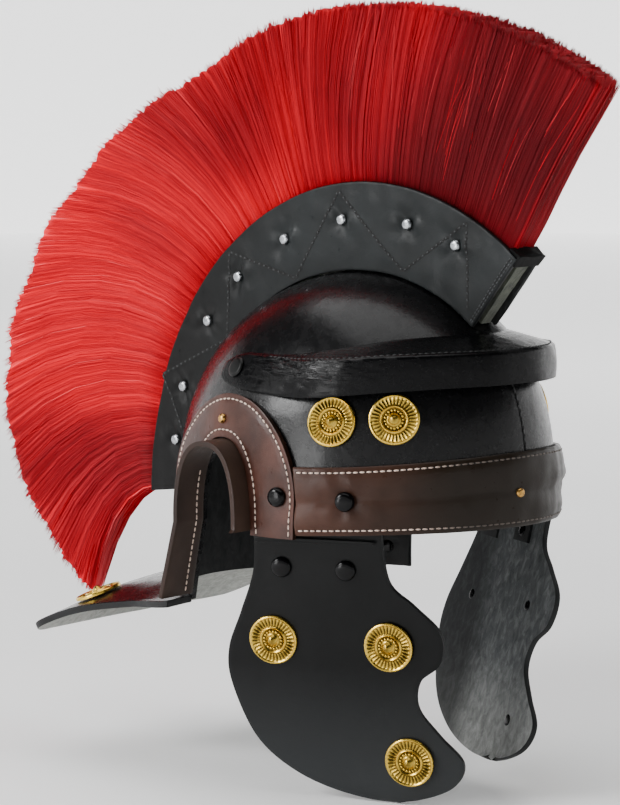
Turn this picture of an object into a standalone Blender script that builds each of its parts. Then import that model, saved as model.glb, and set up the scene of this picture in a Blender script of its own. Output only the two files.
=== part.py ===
"""Leather helmet of a Roman centurion with a fore-and-aft crest.

Metres, +Z up. The front faces -Y and the wearer's right side is -X. The origin is the
middle of the head opening, level with the lower edge of the bowl at the ears.

A place on the bowl is given by its turn and its height: the turn is 0 at the middle of
the front, 90 degrees at the side and 180 at the back. Side is -1 for the wearer's right
and +1 for the left.
"""

import math

import bmesh
import bpy
from mathutils import Euler, Vector

RIGHT, LEFT = -1, 1
SIDES = {RIGHT: "right", LEFT: "left"}
GAP = 0.0003  # left between pieces that touch
WELD = 1e-6
SHARP_EDGE = math.radians(40)
SLOPE_STEP = 0.0001  # for finding the slope of a surface
SEARCH_STEPS = 30

# Bowl: level sections are ellipses that close over a nearly upright wall
BOWL_HALF_WIDTH = 0.0930
BOWL_HALF_LENGTH = 0.1206
BOWL_CENTRE_Y = 0.0020
BOWL_TOP = 0.1419
BOWL_SHOULDER = 0.0065  # height where the wall starts to lean in
BOWL_ROUNDNESS = 2.49
CROWN_SHIFT = -0.0084  # how far the top sits forward of the opening
BOWL_WALL = 0.0030
NECK_BOTTOM = -0.0500
BOWL_COLUMNS = 36
BOWL_ROWS = 8
RIM_SIDE = -0.0015  # height of the rim at the ears
RIM_RISE = 0.0085  # how much higher it is at the front

# Ear opening, in side view, and the leather flange that lines it
EAR_CENTRE_Y = 0.0295
EAR_HALF_WIDTH = 0.0215
EAR_TOP = 0.0455
EAR_ROUNDNESS = 2.4
EAR_REAR_SLANT = 0.30  # the rear leg runs back as it goes down
FLANGE_THICKNESS = 0.0032
FLANGE_REACH_FRONT = 0.1120  # distance of the free edge from the middle plane
FLANGE_REACH_REAR = 0.1060
FLANGE_BOTTOM = -0.0462
ARCH_STEPS = 16
LEG_STEPS = 3

# Ear panel: a horseshoe of leather on the bowl round the ear opening
PANEL_TURN = math.radians(105.0)
PANEL_HALF_TURN = math.radians(27.5)
PANEL_SPRING = 0.0150
PANEL_TOP = 0.0725
PANEL_ROUNDNESS = 2.0
PANEL_THICKNESS = 0.0038
PANEL_REAR_BOTTOM = -0.0420
PANEL_ROWS = 4

# Brow band
BAND_THICKNESS = 0.0022
BAND_CROWN = 0.0016  # how far the middle of each half of the band stands proud
BAND_PROUD = BAND_THICKNESS + BAND_CROWN
BAND_TOP_SIDE = 0.0345
BAND_TOP_RISE = 0.0125
BAND_SEAM = 2 * GAP / BOWL_HALF_WIDTH  # turn left between the band and an ear panel
BAND_COLUMNS = 26
BAND_ROWS = 8

# Brow guard: an upright face held off the bowl, with a sloping shelf behind it
LEATHER = 0.0030
# Columns: turn in degrees, face's lower and upper edge, how far each stands off, shelf's rise
BROW_STATIONS = (
    (0, 0.0838, 0.1024, 0.0114, 0.0215, 0.0090),
    (30, 0.0830, 0.1020, 0.0112, 0.0213, 0.0085),
    (50, 0.0808, 0.1006, 0.0108, 0.0205, 0.0075),
    (64, 0.0780, 0.0985, 0.0095, 0.0185, 0.0060),
    (76, 0.0752, 0.0962, 0.0070, 0.0135, 0.0040),
    (86, 0.0750, 0.0955, 0.0045, 0.0070, 0.0022),
    (94, 0.0760, 0.0955, 0.0035, 0.0040, 0.0012),
    (104, 0.0770, 0.0956, 0.0034, 0.0035, 0.0010),
    (112, 0.0790, 0.0945, 0.0034, 0.0034, 0.0010),
    (117, 0.0830, 0.0905, 0.0034, 0.0034, 0.0010),
)
BROW_STEPS = 48
BROW_GAP = 1.5 * GAP
LUG_RIVET_TURN = math.radians(109.3)
LUG_RIVET_HEIGHT = 0.0866

# Neck guard
GUARD_THICKNESS = 0.0034
GUARD_ROOT_Y = 0.0620
GUARD_REAR_Y = 0.1880
GUARD_ROOT_HEIGHT = -0.0470
GUARD_SLOPE_DROP = 0.0180
GUARD_LIP_DROP = 0.0122
GUARD_LIP_POWER = 4
GUARD_CROWN = 0.0140
GUARD_CROWN_ACROSS = 2.2  # power of the fall towards each side
GUARD_CROWN_BACK = 5  # power of the fall towards the rear
GUARD_CROWN_START = 1 / 3  # share of the length over which the crown rises
GUARD_HALF_WIDTH = 0.0940
GUARD_LUG_REACH = 0.1050
GUARD_LUG_LENGTH = 0.0400
GUARD_CORNER = 0.0120
GUARD_TURN = math.radians(122.0)
GUARD_COLUMNS = 28
GUARD_ROWS = 6

# Cheek guards: flat plates that hang on two straps each
CHEEK_THICKNESS = 0.0034
CHEEK_AT_EAR = 0.0912  # distance of the outer face from the middle plane at the ear
CHEEK_TOE_IN = 0.375  # inward for each metre forward
CHEEK_TUCK_IN = 0.135  # inward for each metre down
CHEEK_TOP = -0.0060
CHEEK_TOP_EDGE = {RIGHT: (-0.0024, 0.0012), LEFT: (-0.0058, -0.0062)}  # rear and front corner
CHEEK_TOP_Y = (0.0055, -0.0653)
# Columns: y, z. From below the rear top corner round to below the front one
CHEEK_OUTLINE = (
    (0.0080, -0.0256),
    (0.0172, -0.0500),
    (0.0260, -0.0720),
    (0.0262, -0.0925),
    (0.0150, -0.1235),
    (-0.0050, -0.1425),
    (-0.0326, -0.1537),
    (-0.0640, -0.1568),
    (-0.0922, -0.1472),
    (-0.1006, -0.1320),
    (-0.0885, -0.1165),
    (-0.0780, -0.1010),
    (-0.0800, -0.0855),
    (-0.0920, -0.0740),
    (-0.0936, -0.0568),
    (-0.0800, -0.0415),
    (-0.0672, -0.0280),
)
CHEEK_OUTLINE_STEPS = 4
# The left guard is fixed further forward than the right, and its foot swings inwards
LEFT_HANG_PIVOT = (0.0800, -0.0300, -0.0060)
LEFT_HANG_TURN = (0.6, 11.0, -4.7)  # degrees about X, Y and Z
LEFT_HANG_SHIFT = (0.0069, -0.0227, 0.0052)
STRAP_WIDTH = 0.0170
STRAP_THICKNESS = 0.0022
STRAP_TURNS = {
    RIGHT: {"rear": math.radians(82.8), "front": math.radians(62.8)},
    LEFT: {"rear": math.radians(73.0), "front": math.radians(54.5)},
}
STRAP_TOP = 0.0290
STRAP_BOTTOM = -0.0165
STRAP_STEPS = 14
# Where each strap leaves the bowl for the guard: the right ones bend inwards above the
# rim, and the left ones outwards below it
STRAP_BEND_TOP = {RIGHT: 0.0200, LEFT: -0.0010}
STRAP_BEND_LENGTH = {RIGHT: 0.0170, LEFT: 0.0110}
STRAP_CLEAR = 3 * GAP

# Crest holder: two crescent side panels over the bowl with a core between them
CREST_CENTRE_Y = -0.0119
CREST_CENTRE_Z = 0.0201
CREST_RADIUS = 0.1708
CREST_SWELL = 0.0024  # the outer edge swells and dips from a true arc
CREST_SWELLS = 3.0
CREST_SWELL_ANGLE = math.radians(83.0)
CREST_FLARE = 0.0035  # how much further out the edge runs at the rear
CREST_FLARE_ANGLE = math.radians(12.0)
CREST_FLARE_SPAN = math.radians(20.0)
CREST_FRONT = math.radians(128.7)
CREST_REAR = math.radians(-7.0)
CREST_HALF_WIDTH = 0.0122
CREST_STEPS = 30
CORE_SETBACK = math.radians(1.6)
HAIR_ROOT_DEPTH = 0.0200

# Crest brush: its tips follow an outline, by angle from +Y over the top to the front
# Columns: angle in degrees, radius
BRUSH_OUTLINE = (
    (-21.5, 0.2340),
    (-13.0, 0.2700),
    (-3.0, 0.2960),
    (5.0, 0.3050),
    (14.0, 0.3025),
    (28.0, 0.2880),
    (42.0, 0.2760),
    (58.0, 0.2645),
    (70.0, 0.2615),
    (82.0, 0.2660),
    (95.0, 0.2745),
    (112.0, 0.2790),
    (125.5, 0.2770),
)
BRUSH_LOCKS = 30
BRUSH_LOCK_STEPS = 3
BRUSH_ROWS = 4
BRUSH_ROOT_HALF = 0.0082
BRUSH_TIP_HALF = 0.0125
BRUSH_GROOVE = 0.0022
BRUSH_NOTCH = 0.0040
BRUSH_TIP_TAPER = 0.55  # share of the width left at the very tips
BRUSH_STRAIGHT = 0.5  # share of its length over which a lock runs straight out
HAIR_COLLAR = 0.0030  # where the hair is clear of the holder
BRUSH_ROOT_FRONT = math.radians(127.6)
BRUSH_ROOT_REAR = math.radians(-5.5)

# Rosettes and rivets. Columns: radius, height, from the back of the rim to the middle
ROSETTE_PROFILE = (
    (0.0143, 0.0),
    (0.0143, 0.0014),
    (0.0134, 0.0018),
    (0.0080, 0.0010),
    (0.0066, 0.0024),
    (0.0030, 0.0026),
)
ROSETTE_BOSS = 0.0046
ROSETTE_SIDES = 14
BOWL_ROSETTES = {"front": (math.radians(49.8), 0.0644), "rear": (math.radians(68.8), 0.0623)}
CHEEK_ROSETTES = {"rear": (-0.0007, -0.0649), "front": (-0.0650, -0.0651), "low": (-0.0713, -0.1319)}
NECK_ROSETTE = (0.0720, 0.1480)
DOME_SIDES = 8
# Columns: share of the radius, share of the height
DOME_PROFILE = ((1.0, 0.0), (1.0, 0.25), (0.707, 0.78))
BLACK_RIVET = (0.0056, 0.0030)  # radius and height
CHEEK_RIVET = (0.0060, 0.0026)
LUG_RIVET = (0.0060, 0.0022)
BRASS_RIVET = (0.0028, 0.0014)
SILVER_RIVET = (0.0032, 0.0019)
BAND_RIVET_HEIGHT = 0.0190
BRASS_PANEL = (math.radians(106.7), 0.0585)
BRASS_FRONT_HEIGHT = 0.0235
CHEEK_RIVETS = {"rear": (-0.0085, -0.0223), "front": (-0.0443, -0.0224)}
SILVER_ANGLES = (114.5, 100.8, 82.5, 65.3, 48.8, 34.8, 17.4, 4.6)
SILVER_RADIUS = 0.1520


def linear(code):
    """The linear colour of an sRGB hex code."""
    parts = [int(code[at : at + 2], 16) / 255 for at in (1, 3, 5)]
    return [p / 12.92 if p <= 0.04045 else ((p + 0.055) / 1.055) ** 2.4 for p in parts] + [1.0]


def finish(name, code, roughness, metallic=0.0):
    material = bpy.data.materials.new(name)
    material.use_nodes = True
    shader = material.node_tree.nodes["Principled BSDF"]
    shader.inputs["Base Color"].default_value = linear(code)
    shader.inputs["Roughness"].default_value = roughness
    shader.inputs["Metallic"].default_value = metallic
    return material


def smoothstep(value):
    value = min(max(value, 0.0), 1.0)
    return value * value * (3.0 - 2.0 * value)


def blend_rows(rows, at):
    """The row of a table at a value of its first column, on a smooth curve through its rows."""
    last = len(rows) - 2
    index = max(i for i in range(last + 1) if i == 0 or rows[i][0] <= at)
    before, start = rows[max(index - 1, 0)], rows[index]
    end, after = rows[index + 1], rows[min(index + 2, last + 1)]
    span = end[0] - start[0]
    part = (at - start[0]) / span
    result = []
    for p0, p1, p2, p3 in zip(before[1:], start[1:], end[1:], after[1:]):
        slope_start = (p2 - p0) / (end[0] - before[0]) * span
        slope_end = (p3 - p1) / (after[0] - start[0]) * span
        change = p2 - p1
        curve = (3 * change - 2 * slope_start - slope_end) * part**2
        curve += (slope_start + slope_end - 2 * change) * part**3
        result.append(p1 + slope_start * part + curve)
    return result


# The bowl's surface


def bowl_rise(z):
    return max((z - BOWL_SHOULDER) / (BOWL_TOP - BOWL_SHOULDER), 0.0)


def bowl_level(z):
    """Half width, half length and middle of the bowl's level section."""
    rise = bowl_rise(z)
    scale = math.sqrt(max(1.0 - rise**BOWL_ROUNDNESS, 0.0))
    return BOWL_HALF_WIDTH * scale, BOWL_HALF_LENGTH * scale, BOWL_CENTRE_Y + CROWN_SHIFT * rise


def bowl_value(point):
    """Below 0 inside the bowl's outer surface and above 0 outside it."""
    rise = bowl_rise(point.z)
    y = point.y - BOWL_CENTRE_Y - CROWN_SHIFT * rise
    return (point.x / BOWL_HALF_WIDTH) ** 2 + (y / BOWL_HALF_LENGTH) ** 2 + rise**BOWL_ROUNDNESS - 1.0


def bowl_normal(point):
    moves = [Vector((SLOPE_STEP, 0, 0)), Vector((0, SLOPE_STEP, 0)), Vector((0, 0, SLOPE_STEP))]
    return Vector([bowl_value(point + move) - bowl_value(point - move) for move in moves]).normalized()


def on_bowl(turn, z, off=0.0, side=RIGHT):
    """The point at this turn and height, moved off the surface along its normal."""
    half_width, half_length, middle = bowl_level(z)
    point = Vector((side * half_width * math.sin(turn), middle - half_length * math.cos(turn), z))
    return point + bowl_normal(point) * off


def level_point(turn, z, out):
    """The point at this turn and height, moved out level from the bowl's section."""
    half_width, half_length, middle = bowl_level(z)
    return Vector((-(half_width + out) * math.sin(turn), middle - (half_length + out) * math.cos(turn), z))


def bowl_reach(y, z):
    """Distance of the bowl's surface from the middle plane, at a place in side view."""
    half_width, half_length, middle = bowl_level(z)
    return half_width * math.sqrt(max(1.0 - ((y - middle) / half_length) ** 2, 0.0))


def turn_at(y, z):
    half_width, half_length, middle = bowl_level(z)
    return math.acos(min(max((middle - y) / half_length, -1.0), 1.0))


def rim_height(turn):
    return RIM_SIDE + RIM_RISE * math.cos(turn)


# Making objects


def add_mesh(name, mesh_data, material):
    """An object from a bmesh, with its faces turned outwards and its round parts smooth."""
    bmesh.ops.remove_doubles(mesh_data, verts=mesh_data.verts, dist=WELD)
    bmesh.ops.recalc_face_normals(mesh_data, faces=mesh_data.faces)
    mesh = bpy.data.meshes.new(name)
    mesh_data.to_mesh(mesh)
    mesh_data.free()
    mesh.shade_smooth()
    mesh.set_sharp_from_angle(angle=SHARP_EDGE)
    mesh.materials.append(material)
    part = bpy.data.objects.new(name, mesh)
    bpy.context.scene.collection.objects.link(part)
    return part


def tube_grid(mesh_data, sections, closed):
    """Joins closed sections of equal length, and caps both ends unless the run is closed."""
    rings = [[mesh_data.verts.new(point) for point in section] for section in sections]
    count = len(rings[0])
    pairs = list(zip(rings, rings[1:] + rings[:1])) if closed else list(zip(rings, rings[1:]))
    for first, second in pairs:
        for at in range(count):
            after = (at + 1) % count
            mesh_data.faces.new((first[at], first[after], second[after], second[at]))
    if not closed:
        mesh_data.faces.new(rings[0][::-1])
        mesh_data.faces.new(rings[-1])


def wall(name, outer, inner, material):
    """A wall between two sheets, each a list of rows of points."""
    mesh_data = bmesh.new()
    sheets = [[[mesh_data.verts.new(point) for point in row] for row in sheet] for sheet in (outer, inner)]
    for sheet in sheets:
        for low, high in zip(sheet, sheet[1:]):
            for at in range(len(low) - 1):
                mesh_data.faces.new((low[at], low[at + 1], high[at + 1], high[at]))
    front, back = sheets
    edges = [(front[0], back[0]), (front[-1], back[-1])]
    edges += [([row[at] for row in front], [row[at] for row in back]) for at in (0, -1)]
    for rim, base in edges:
        for at in range(len(rim) - 1):
            mesh_data.faces.new((rim[at], rim[at + 1], base[at + 1], base[at]))
    return add_mesh(name, mesh_data, material)


def turned(name, profile, middle_height, sides, material):
    """A piece turned about its own Z, flat at the back, from (radius, height) pairs."""
    mesh_data = bmesh.new()
    rings = []
    around = [(math.cos(math.tau * step / sides), math.sin(math.tau * step / sides)) for step in range(sides)]
    for radius, height in profile:
        rings.append([mesh_data.verts.new((radius * x, radius * y, height)) for x, y in around])
    for first, second in zip(rings, rings[1:]):
        for at in range(sides):
            after = (at + 1) % sides
            mesh_data.faces.new((first[at], first[after], second[after], second[at]))
    top = mesh_data.verts.new((0, 0, middle_height))
    for at in range(sides):
        mesh_data.faces.new((rings[-1][at], rings[-1][(at + 1) % sides], top))
    mesh_data.faces.new(rings[0][::-1])
    return add_mesh(name, mesh_data, material)


def seat(part, point, normal):
    """Places a turned piece with its back on a point, facing along a normal."""
    part.location = point + normal * GAP
    part.rotation_mode = "QUATERNION"
    part.rotation_quaternion = normal.to_track_quat("Z", "Y")


def dome(name, size, material):
    radius, height = size
    profile = [(radius * out, height * up) for out, up in DOME_PROFILE]
    return turned(name, profile, height, DOME_SIDES, material)


def mirrored(point, side):
    """A point given for the wearer's right, on the side asked for."""
    return Vector((point.x if side == RIGHT else -point.x, point.y, point.z))


def offset_path(path, distance):
    """A side-view path moved to its left by a distance."""
    moved = []
    for at, point in enumerate(path):
        before, after = path[max(at - 1, 0)], path[min(at + 1, len(path) - 1)]
        along = (Vector(after) - Vector(before)).normalized()
        moved.append(Vector(point) + Vector((-along.y, along.x)) * distance)
    return moved


# Bowl


def ear_path():
    """The ear opening in side view: up the front leg, over, and down the rear leg."""
    front = [(EAR_CENTRE_Y - EAR_HALF_WIDTH, RIM_SIDE * (1 - step / LEG_STEPS)) for step in range(LEG_STEPS)]
    arch = []
    for step in range(ARCH_STEPS + 1):
        angle = math.pi * step / ARCH_STEPS
        across = math.cos(angle)
        y = EAR_CENTRE_Y - EAR_HALF_WIDTH * math.copysign(abs(across) ** (2 / EAR_ROUNDNESS), across)
        arch.append((y, EAR_TOP * math.sin(angle) ** (2 / EAR_ROUNDNESS)))
    rear = []
    for step in range(1, LEG_STEPS + 1):
        z = FLANGE_BOTTOM * step / LEG_STEPS
        rear.append((EAR_CENTRE_Y + EAR_HALF_WIDTH - EAR_REAR_SLANT * z, z))
    return front + arch + rear


def rim_cutter():
    """A prism across both sides, below the rim and through both ear openings."""
    clear = 2 * NECK_BOTTOM
    front_y = BOWL_CENTRE_Y - 2 * BOWL_HALF_LENGTH
    ear = [Vector(place) for place in ear_path()]
    slant = Vector((-EAR_REAR_SLANT, 1.0))
    foot = ear[-1] + slant * (NECK_BOTTOM + clear - ear[-1].y)
    rise_per_y = RIM_RISE / BOWL_HALF_LENGTH
    rim_front = RIM_SIDE + rise_per_y * (BOWL_CENTRE_Y - front_y)
    outline = [Vector((front_y, foot.y)), Vector((front_y, rim_front))]
    outline.append(Vector((ear[0].x, RIM_SIDE + rise_per_y * (BOWL_CENTRE_Y - ear[0].x))))
    outline += [*ear[1:], foot]
    mesh_data = bmesh.new()
    across = 2 * BOWL_HALF_WIDTH
    sections = [[Vector((x, point.x, point.y)) for point in outline] for x in (-across, across)]
    tube_grid(mesh_data, sections, closed=False)
    cutter = add_mesh("rim_cutter", mesh_data, BLACK)
    cutter.hide_render = True
    cutter.display_type = "WIRE"
    return cutter


def bowl():
    heights = [NECK_BOTTOM, NECK_BOTTOM / 2, 0.0]
    heights += [
        BOWL_SHOULDER + (BOWL_TOP - BOWL_SHOULDER) * math.sin(math.pi / 2 * step / (BOWL_ROWS + 1))
        for step in range(1, BOWL_ROWS + 1)
    ]
    turns = [math.tau * step / BOWL_COLUMNS for step in range(BOWL_COLUMNS)]
    mesh_data = bmesh.new()
    rims = []
    for off in (0.0, -BOWL_WALL):
        rings = [[mesh_data.verts.new(on_bowl(turn, z, off)) for turn in turns] for z in heights]
        for low, high in zip(rings, rings[1:]):
            for at in range(BOWL_COLUMNS):
                after = (at + 1) % BOWL_COLUMNS
                mesh_data.faces.new((low[at], low[after], high[after], high[at]))
        pole = mesh_data.verts.new((0, BOWL_CENTRE_Y + CROWN_SHIFT, BOWL_TOP + off))
        for at in range(BOWL_COLUMNS):
            mesh_data.faces.new((rings[-1][at], rings[-1][(at + 1) % BOWL_COLUMNS], pole))
        rims.append(rings[0])
    for at in range(BOWL_COLUMNS):
        after = (at + 1) % BOWL_COLUMNS
        mesh_data.faces.new((rims[0][at], rims[0][after], rims[1][after], rims[1][at]))
    part = add_mesh("bowl", mesh_data, BLACK)
    cut = part.modifiers.new("rim and ear openings", "BOOLEAN")
    cut.operation = "DIFFERENCE"
    cut.object = rim_cutter()


# Leather on the bowl


def panel_outline(at):
    """Turn and height on the panel's outer edge, at 0 to 3: front leg, arch, rear leg."""
    if at <= 1.0:
        return PANEL_TURN - PANEL_HALF_TURN, RIM_SIDE + (PANEL_SPRING - RIM_SIDE) * at
    if at >= 2.0:
        drop = PANEL_SPRING + (PANEL_REAR_BOTTOM - PANEL_SPRING) * (at - 2.0)
        return PANEL_TURN + PANEL_HALF_TURN, drop
    angle = math.pi * (at - 1.0)
    across = math.cos(angle)
    power = 2 / PANEL_ROUNDNESS
    turn = PANEL_TURN - PANEL_HALF_TURN * math.copysign(abs(across) ** power, across)
    return turn, PANEL_SPRING + (PANEL_TOP - PANEL_SPRING) * math.sin(angle) ** power


def panel_front_turn(z):
    """The turn of the panel's front edge at a height, where the brow band ends."""
    rise = min(max((z - PANEL_SPRING) / (PANEL_TOP - PANEL_SPRING), 0.0), 1.0)
    return PANEL_TURN - PANEL_HALF_TURN * (1.0 - rise**PANEL_ROUNDNESS) ** (1 / PANEL_ROUNDNESS)


def ear_panel(side):
    path = offset_path(ear_path(), FLANGE_THICKNESS + GAP)
    count = len(path) - 1
    leg_end, arch_end = LEG_STEPS, LEG_STEPS + ARCH_STEPS
    front, back = [], []
    for index, (y, z) in enumerate(path):
        if index <= leg_end:
            at = index / leg_end
        elif index <= arch_end:
            at = 1.0 + (index - leg_end) / (arch_end - leg_end)
        else:
            at = 2.0 + (index - arch_end) / (count - arch_end)
        z = max(z, PANEL_REAR_BOTTOM)
        outer_turn, outer_z = panel_outline(at)
        inner_turn = turn_at(y, z)
        if index == 0:
            z = outer_z = RIM_SIDE
        front.append([])
        back.append([])
        for step in range(PANEL_ROWS + 1):
            part = step / PANEL_ROWS
            turn = inner_turn + (outer_turn - inner_turn) * part
            height = z + (outer_z - z) * part
            front[-1].append(on_bowl(turn, height, GAP + PANEL_THICKNESS, side))
            back[-1].append(on_bowl(turn, height, GAP, side))
    return wall(f"ear_panel_{SIDES[side]}", front, back, BROWN)


def ear_flange(side):
    inner = ear_path()
    outer = offset_path(inner, FLANGE_THICKNESS)
    sections = []
    for index, (near, far) in enumerate(zip(inner, outer)):
        part = index / (len(inner) - 1)
        reach = FLANGE_REACH_FRONT + (FLANGE_REACH_REAR - FLANGE_REACH_FRONT) * part
        near = Vector(near)
        roots = [bowl_reach(place.x, place.y) + GAP for place in (near, far)]
        corners = ((roots[0], near), (reach, near), (reach, far), (roots[1], far))
        sections.append([Vector((side * x, place.x, place.y)) for x, place in corners])
    mesh_data = bmesh.new()
    tube_grid(mesh_data, sections, closed=False)
    return add_mesh(f"ear_flange_{SIDES[side]}", mesh_data, BROWN)


def band_bulge(part):
    """The two soft rolls of the band, above and below its middle crease."""
    return BAND_CROWN * abs(math.sin(math.tau * part))


def brow_band():
    front, back = [], []
    for row in range(BAND_ROWS + 1):
        part = row / BAND_ROWS
        front.append([])
        back.append([])
        for column in range(BAND_COLUMNS + 1):
            across = 2 * column / BAND_COLUMNS - 1
            turn = across * (PANEL_TURN - PANEL_HALF_TURN)
            low = rim_height(turn)
            high = BAND_TOP_SIDE + BAND_TOP_RISE * math.cos(turn) ** 2
            z = low + (high - low) * part
            turn = across * (panel_front_turn(z) - BAND_SEAM)
            front[-1].append(on_bowl(turn, z, GAP + BAND_THICKNESS + band_bulge(part)))
            back[-1].append(on_bowl(turn, z, GAP))
    return wall("brow_band", front, back, BROWN)


def brow_guard():
    sections = []
    last_turn = BROW_STATIONS[-1][0]
    for step in range(BROW_STEPS + 1):
        across = 2 * step / BROW_STEPS - 1
        low, high, out_low, out_high, rise = blend_rows(BROW_STATIONS, abs(across) * last_turn)
        turn = math.radians(across * last_turn)
        corners = (
            (low, out_low),
            (high, out_high),
            (high + rise, BROW_GAP),
            (high + rise - LEATHER, BROW_GAP),
            (high - LEATHER, max(out_high - LEATHER, BROW_GAP)),
            (low, max(out_low - LEATHER, BROW_GAP)),
        )
        sections.append([level_point(turn, z, out) for z, out in corners])
    mesh_data = bmesh.new()
    tube_grid(mesh_data, sections, closed=False)
    return add_mesh("brow_guard", mesh_data, BLACK)


# Neck guard


def guard_edge(part):
    """The neck guard's free edge in plan, from its right front corner round to its left one."""
    side_length = GUARD_REAR_Y - GUARD_CORNER - GUARD_ROOT_Y
    rear_length = 2 * (GUARD_HALF_WIDTH - GUARD_CORNER)
    corner_length = GUARD_CORNER * math.pi / 2
    total = 2 * side_length + 2 * corner_length + rear_length
    travel = part * total
    mirror = 1.0
    if travel > total / 2:
        travel = total - travel
        mirror = -1.0
    if travel <= side_length:
        lug = smoothstep(1.0 - travel / GUARD_LUG_LENGTH)
        x = -GUARD_HALF_WIDTH - (GUARD_LUG_REACH - GUARD_HALF_WIDTH) * lug
        return mirror * x, GUARD_ROOT_Y + travel
    travel -= side_length
    if travel <= corner_length:
        angle = travel / GUARD_CORNER
        x = -GUARD_HALF_WIDTH + GUARD_CORNER * (1.0 - math.cos(angle))
        return mirror * x, GUARD_REAR_Y - GUARD_CORNER * (1.0 - math.sin(angle))
    return mirror * (-GUARD_HALF_WIDTH + GUARD_CORNER + travel - corner_length), GUARD_REAR_Y


def guard_height(x, y):
    """Height of the neck guard's upper face: it slopes back, crowned in the middle, to a lip."""
    back = min(max((y - GUARD_ROOT_Y) / (GUARD_REAR_Y - GUARD_ROOT_Y), 0.0), 1.0)
    across = min(abs(x) / GUARD_HALF_WIDTH, 1.0)
    crown = GUARD_CROWN * smoothstep(back / GUARD_CROWN_START)
    crown *= (1.0 - across**GUARD_CROWN_ACROSS) * (1.0 - back**GUARD_CROWN_BACK)
    return GUARD_ROOT_HEIGHT - GUARD_SLOPE_DROP * back - GUARD_LIP_DROP * back**GUARD_LIP_POWER + crown


def neck_guard():
    top, bottom = [], []
    for row in range(GUARD_ROWS + 1):
        outward = row / GUARD_ROWS
        top.append([])
        bottom.append([])
        for column in range(GUARD_COLUMNS + 1):
            part = column / GUARD_COLUMNS
            turn = GUARD_TURN + (math.tau - 2 * GUARD_TURN) * part
            root = level_point(turn, NECK_BOTTOM, GAP)
            edge_x, edge_y = guard_edge(part)
            x = root.x + (edge_x - root.x) * outward
            y = root.y + (edge_y - root.y) * outward
            z = guard_height(x, y)
            top[-1].append(Vector((x, y, z)))
            bottom[-1].append(Vector((x, y, z - GUARD_THICKNESS)))
    return wall("neck_guard", top, bottom, BLACK)


# Cheek guards and their straps


def cheek_face(y, z, inside=0.0):
    """A point of the right cheek guard's outer face, or as far inside it as asked."""
    reach = CHEEK_AT_EAR + CHEEK_TOE_IN * y + CHEEK_TUCK_IN * (z - CHEEK_TOP)
    return Vector((-reach, y, z)) - cheek_normal() * inside


def cheek_normal():
    return Vector((-1.0, -CHEEK_TOE_IN, -CHEEK_TUCK_IN)).normalized()


def hung(vector, side, place=True):
    """A place or a direction on the right cheek guard, moved to the guard on the side asked for."""
    if side == RIGHT:
        return vector
    vector = mirrored(vector, LEFT)
    turn = Euler([math.radians(angle) for angle in LEFT_HANG_TURN]).to_matrix()
    if not place:
        return turn @ vector
    pivot = Vector(LEFT_HANG_PIVOT)
    return turn @ (vector - pivot) + pivot + Vector(LEFT_HANG_SHIFT)


def cheek_outline(side):
    """The guard's edge in side view: straight down from each top corner, and curved below."""
    rear, front = [Vector(corner) for corner in zip(CHEEK_TOP_Y, CHEEK_TOP_EDGE[side])]
    rows = [rear, *[Vector(row) for row in CHEEK_OUTLINE], front]
    points = []
    for index in range(len(rows) - 1):
        start, end = rows[index], rows[index + 1]
        before, after = rows[max(index - 1, 0)], rows[min(index + 2, len(rows) - 1)]
        for step in range(CHEEK_OUTLINE_STEPS):
            part = step / CHEEK_OUTLINE_STEPS
            leave, arrive, change = (end - before) / 2, (after - start) / 2, end - start
            curve = (3 * change - 2 * leave - arrive) * part**2
            curve += (leave + arrive - 2 * change) * part**3
            points.append(start + leave * part + curve)
    return points + [front]


def cheek_guard(side):
    sections = []
    for inside in (0.0, CHEEK_THICKNESS):
        sections.append([hung(cheek_face(y, z, inside), side) for y, z in cheek_outline(side)])
    mesh_data = bmesh.new()
    tube_grid(mesh_data, sections, closed=False)
    return add_mesh(f"cheek_guard_{SIDES[side]}", mesh_data, BLACK)


def cheek_strap(side, place):
    """A strap from inside the bowl, behind its black rivet, to the inner face of the guard."""
    turn = STRAP_TURNS[side][place]
    below_y = CHEEK_RIVETS[place][0]
    stand_off = STRAP_WIDTH**2 / (8 * BOWL_HALF_WIDTH)  # of a flat strap from a curved wall
    upper_out = bowl_normal(on_bowl(turn, 0.0, 0.0, side))
    lower_out = hung(cheek_normal(), side, place=False)
    sections = []
    for step in range(STRAP_STEPS + 1):
        z = STRAP_TOP + (STRAP_BOTTOM - STRAP_TOP) * step / STRAP_STEPS
        blend = smoothstep((STRAP_BEND_TOP[side] - z) / STRAP_BEND_LENGTH[side])
        upper = on_bowl(turn, max(z, 0.0), -BOWL_WALL - STRAP_CLEAR - stand_off, side)
        upper.z = z
        lower = hung(cheek_face(below_y, z, CHEEK_THICKNESS + GAP), side)
        middle = upper.lerp(lower, blend)
        out = upper_out.lerp(lower_out, blend).normalized()
        along = Vector((out.y, -out.x, 0.0)).normalized() * (STRAP_WIDTH / 2)
        inward = out * -STRAP_THICKNESS
        corners = (middle - along, middle + along)
        sections.append([*corners, corners[1] + inward, corners[0] + inward])
    mesh_data = bmesh.new()
    tube_grid(mesh_data, sections, closed=False)
    return add_mesh(f"cheek_strap_{place}_{SIDES[side]}", mesh_data, BLACK)


# Crest


def crest_point(x, angle, radius):
    return Vector((x, CREST_CENTRE_Y + radius * math.cos(angle), CREST_CENTRE_Z + radius * math.sin(angle)))


def crest_foot(x, angle):
    """Radius at which a ray from the crest's centre leaves the bowl, in the plane at x."""
    low, high = 0.0, CREST_RADIUS
    for _ in range(SEARCH_STEPS):
        middle = (low + high) / 2
        if bowl_value(crest_point(x, angle, middle)) < 0.0:
            low = middle
        else:
            high = middle
    return high + 2 * GAP


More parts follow.
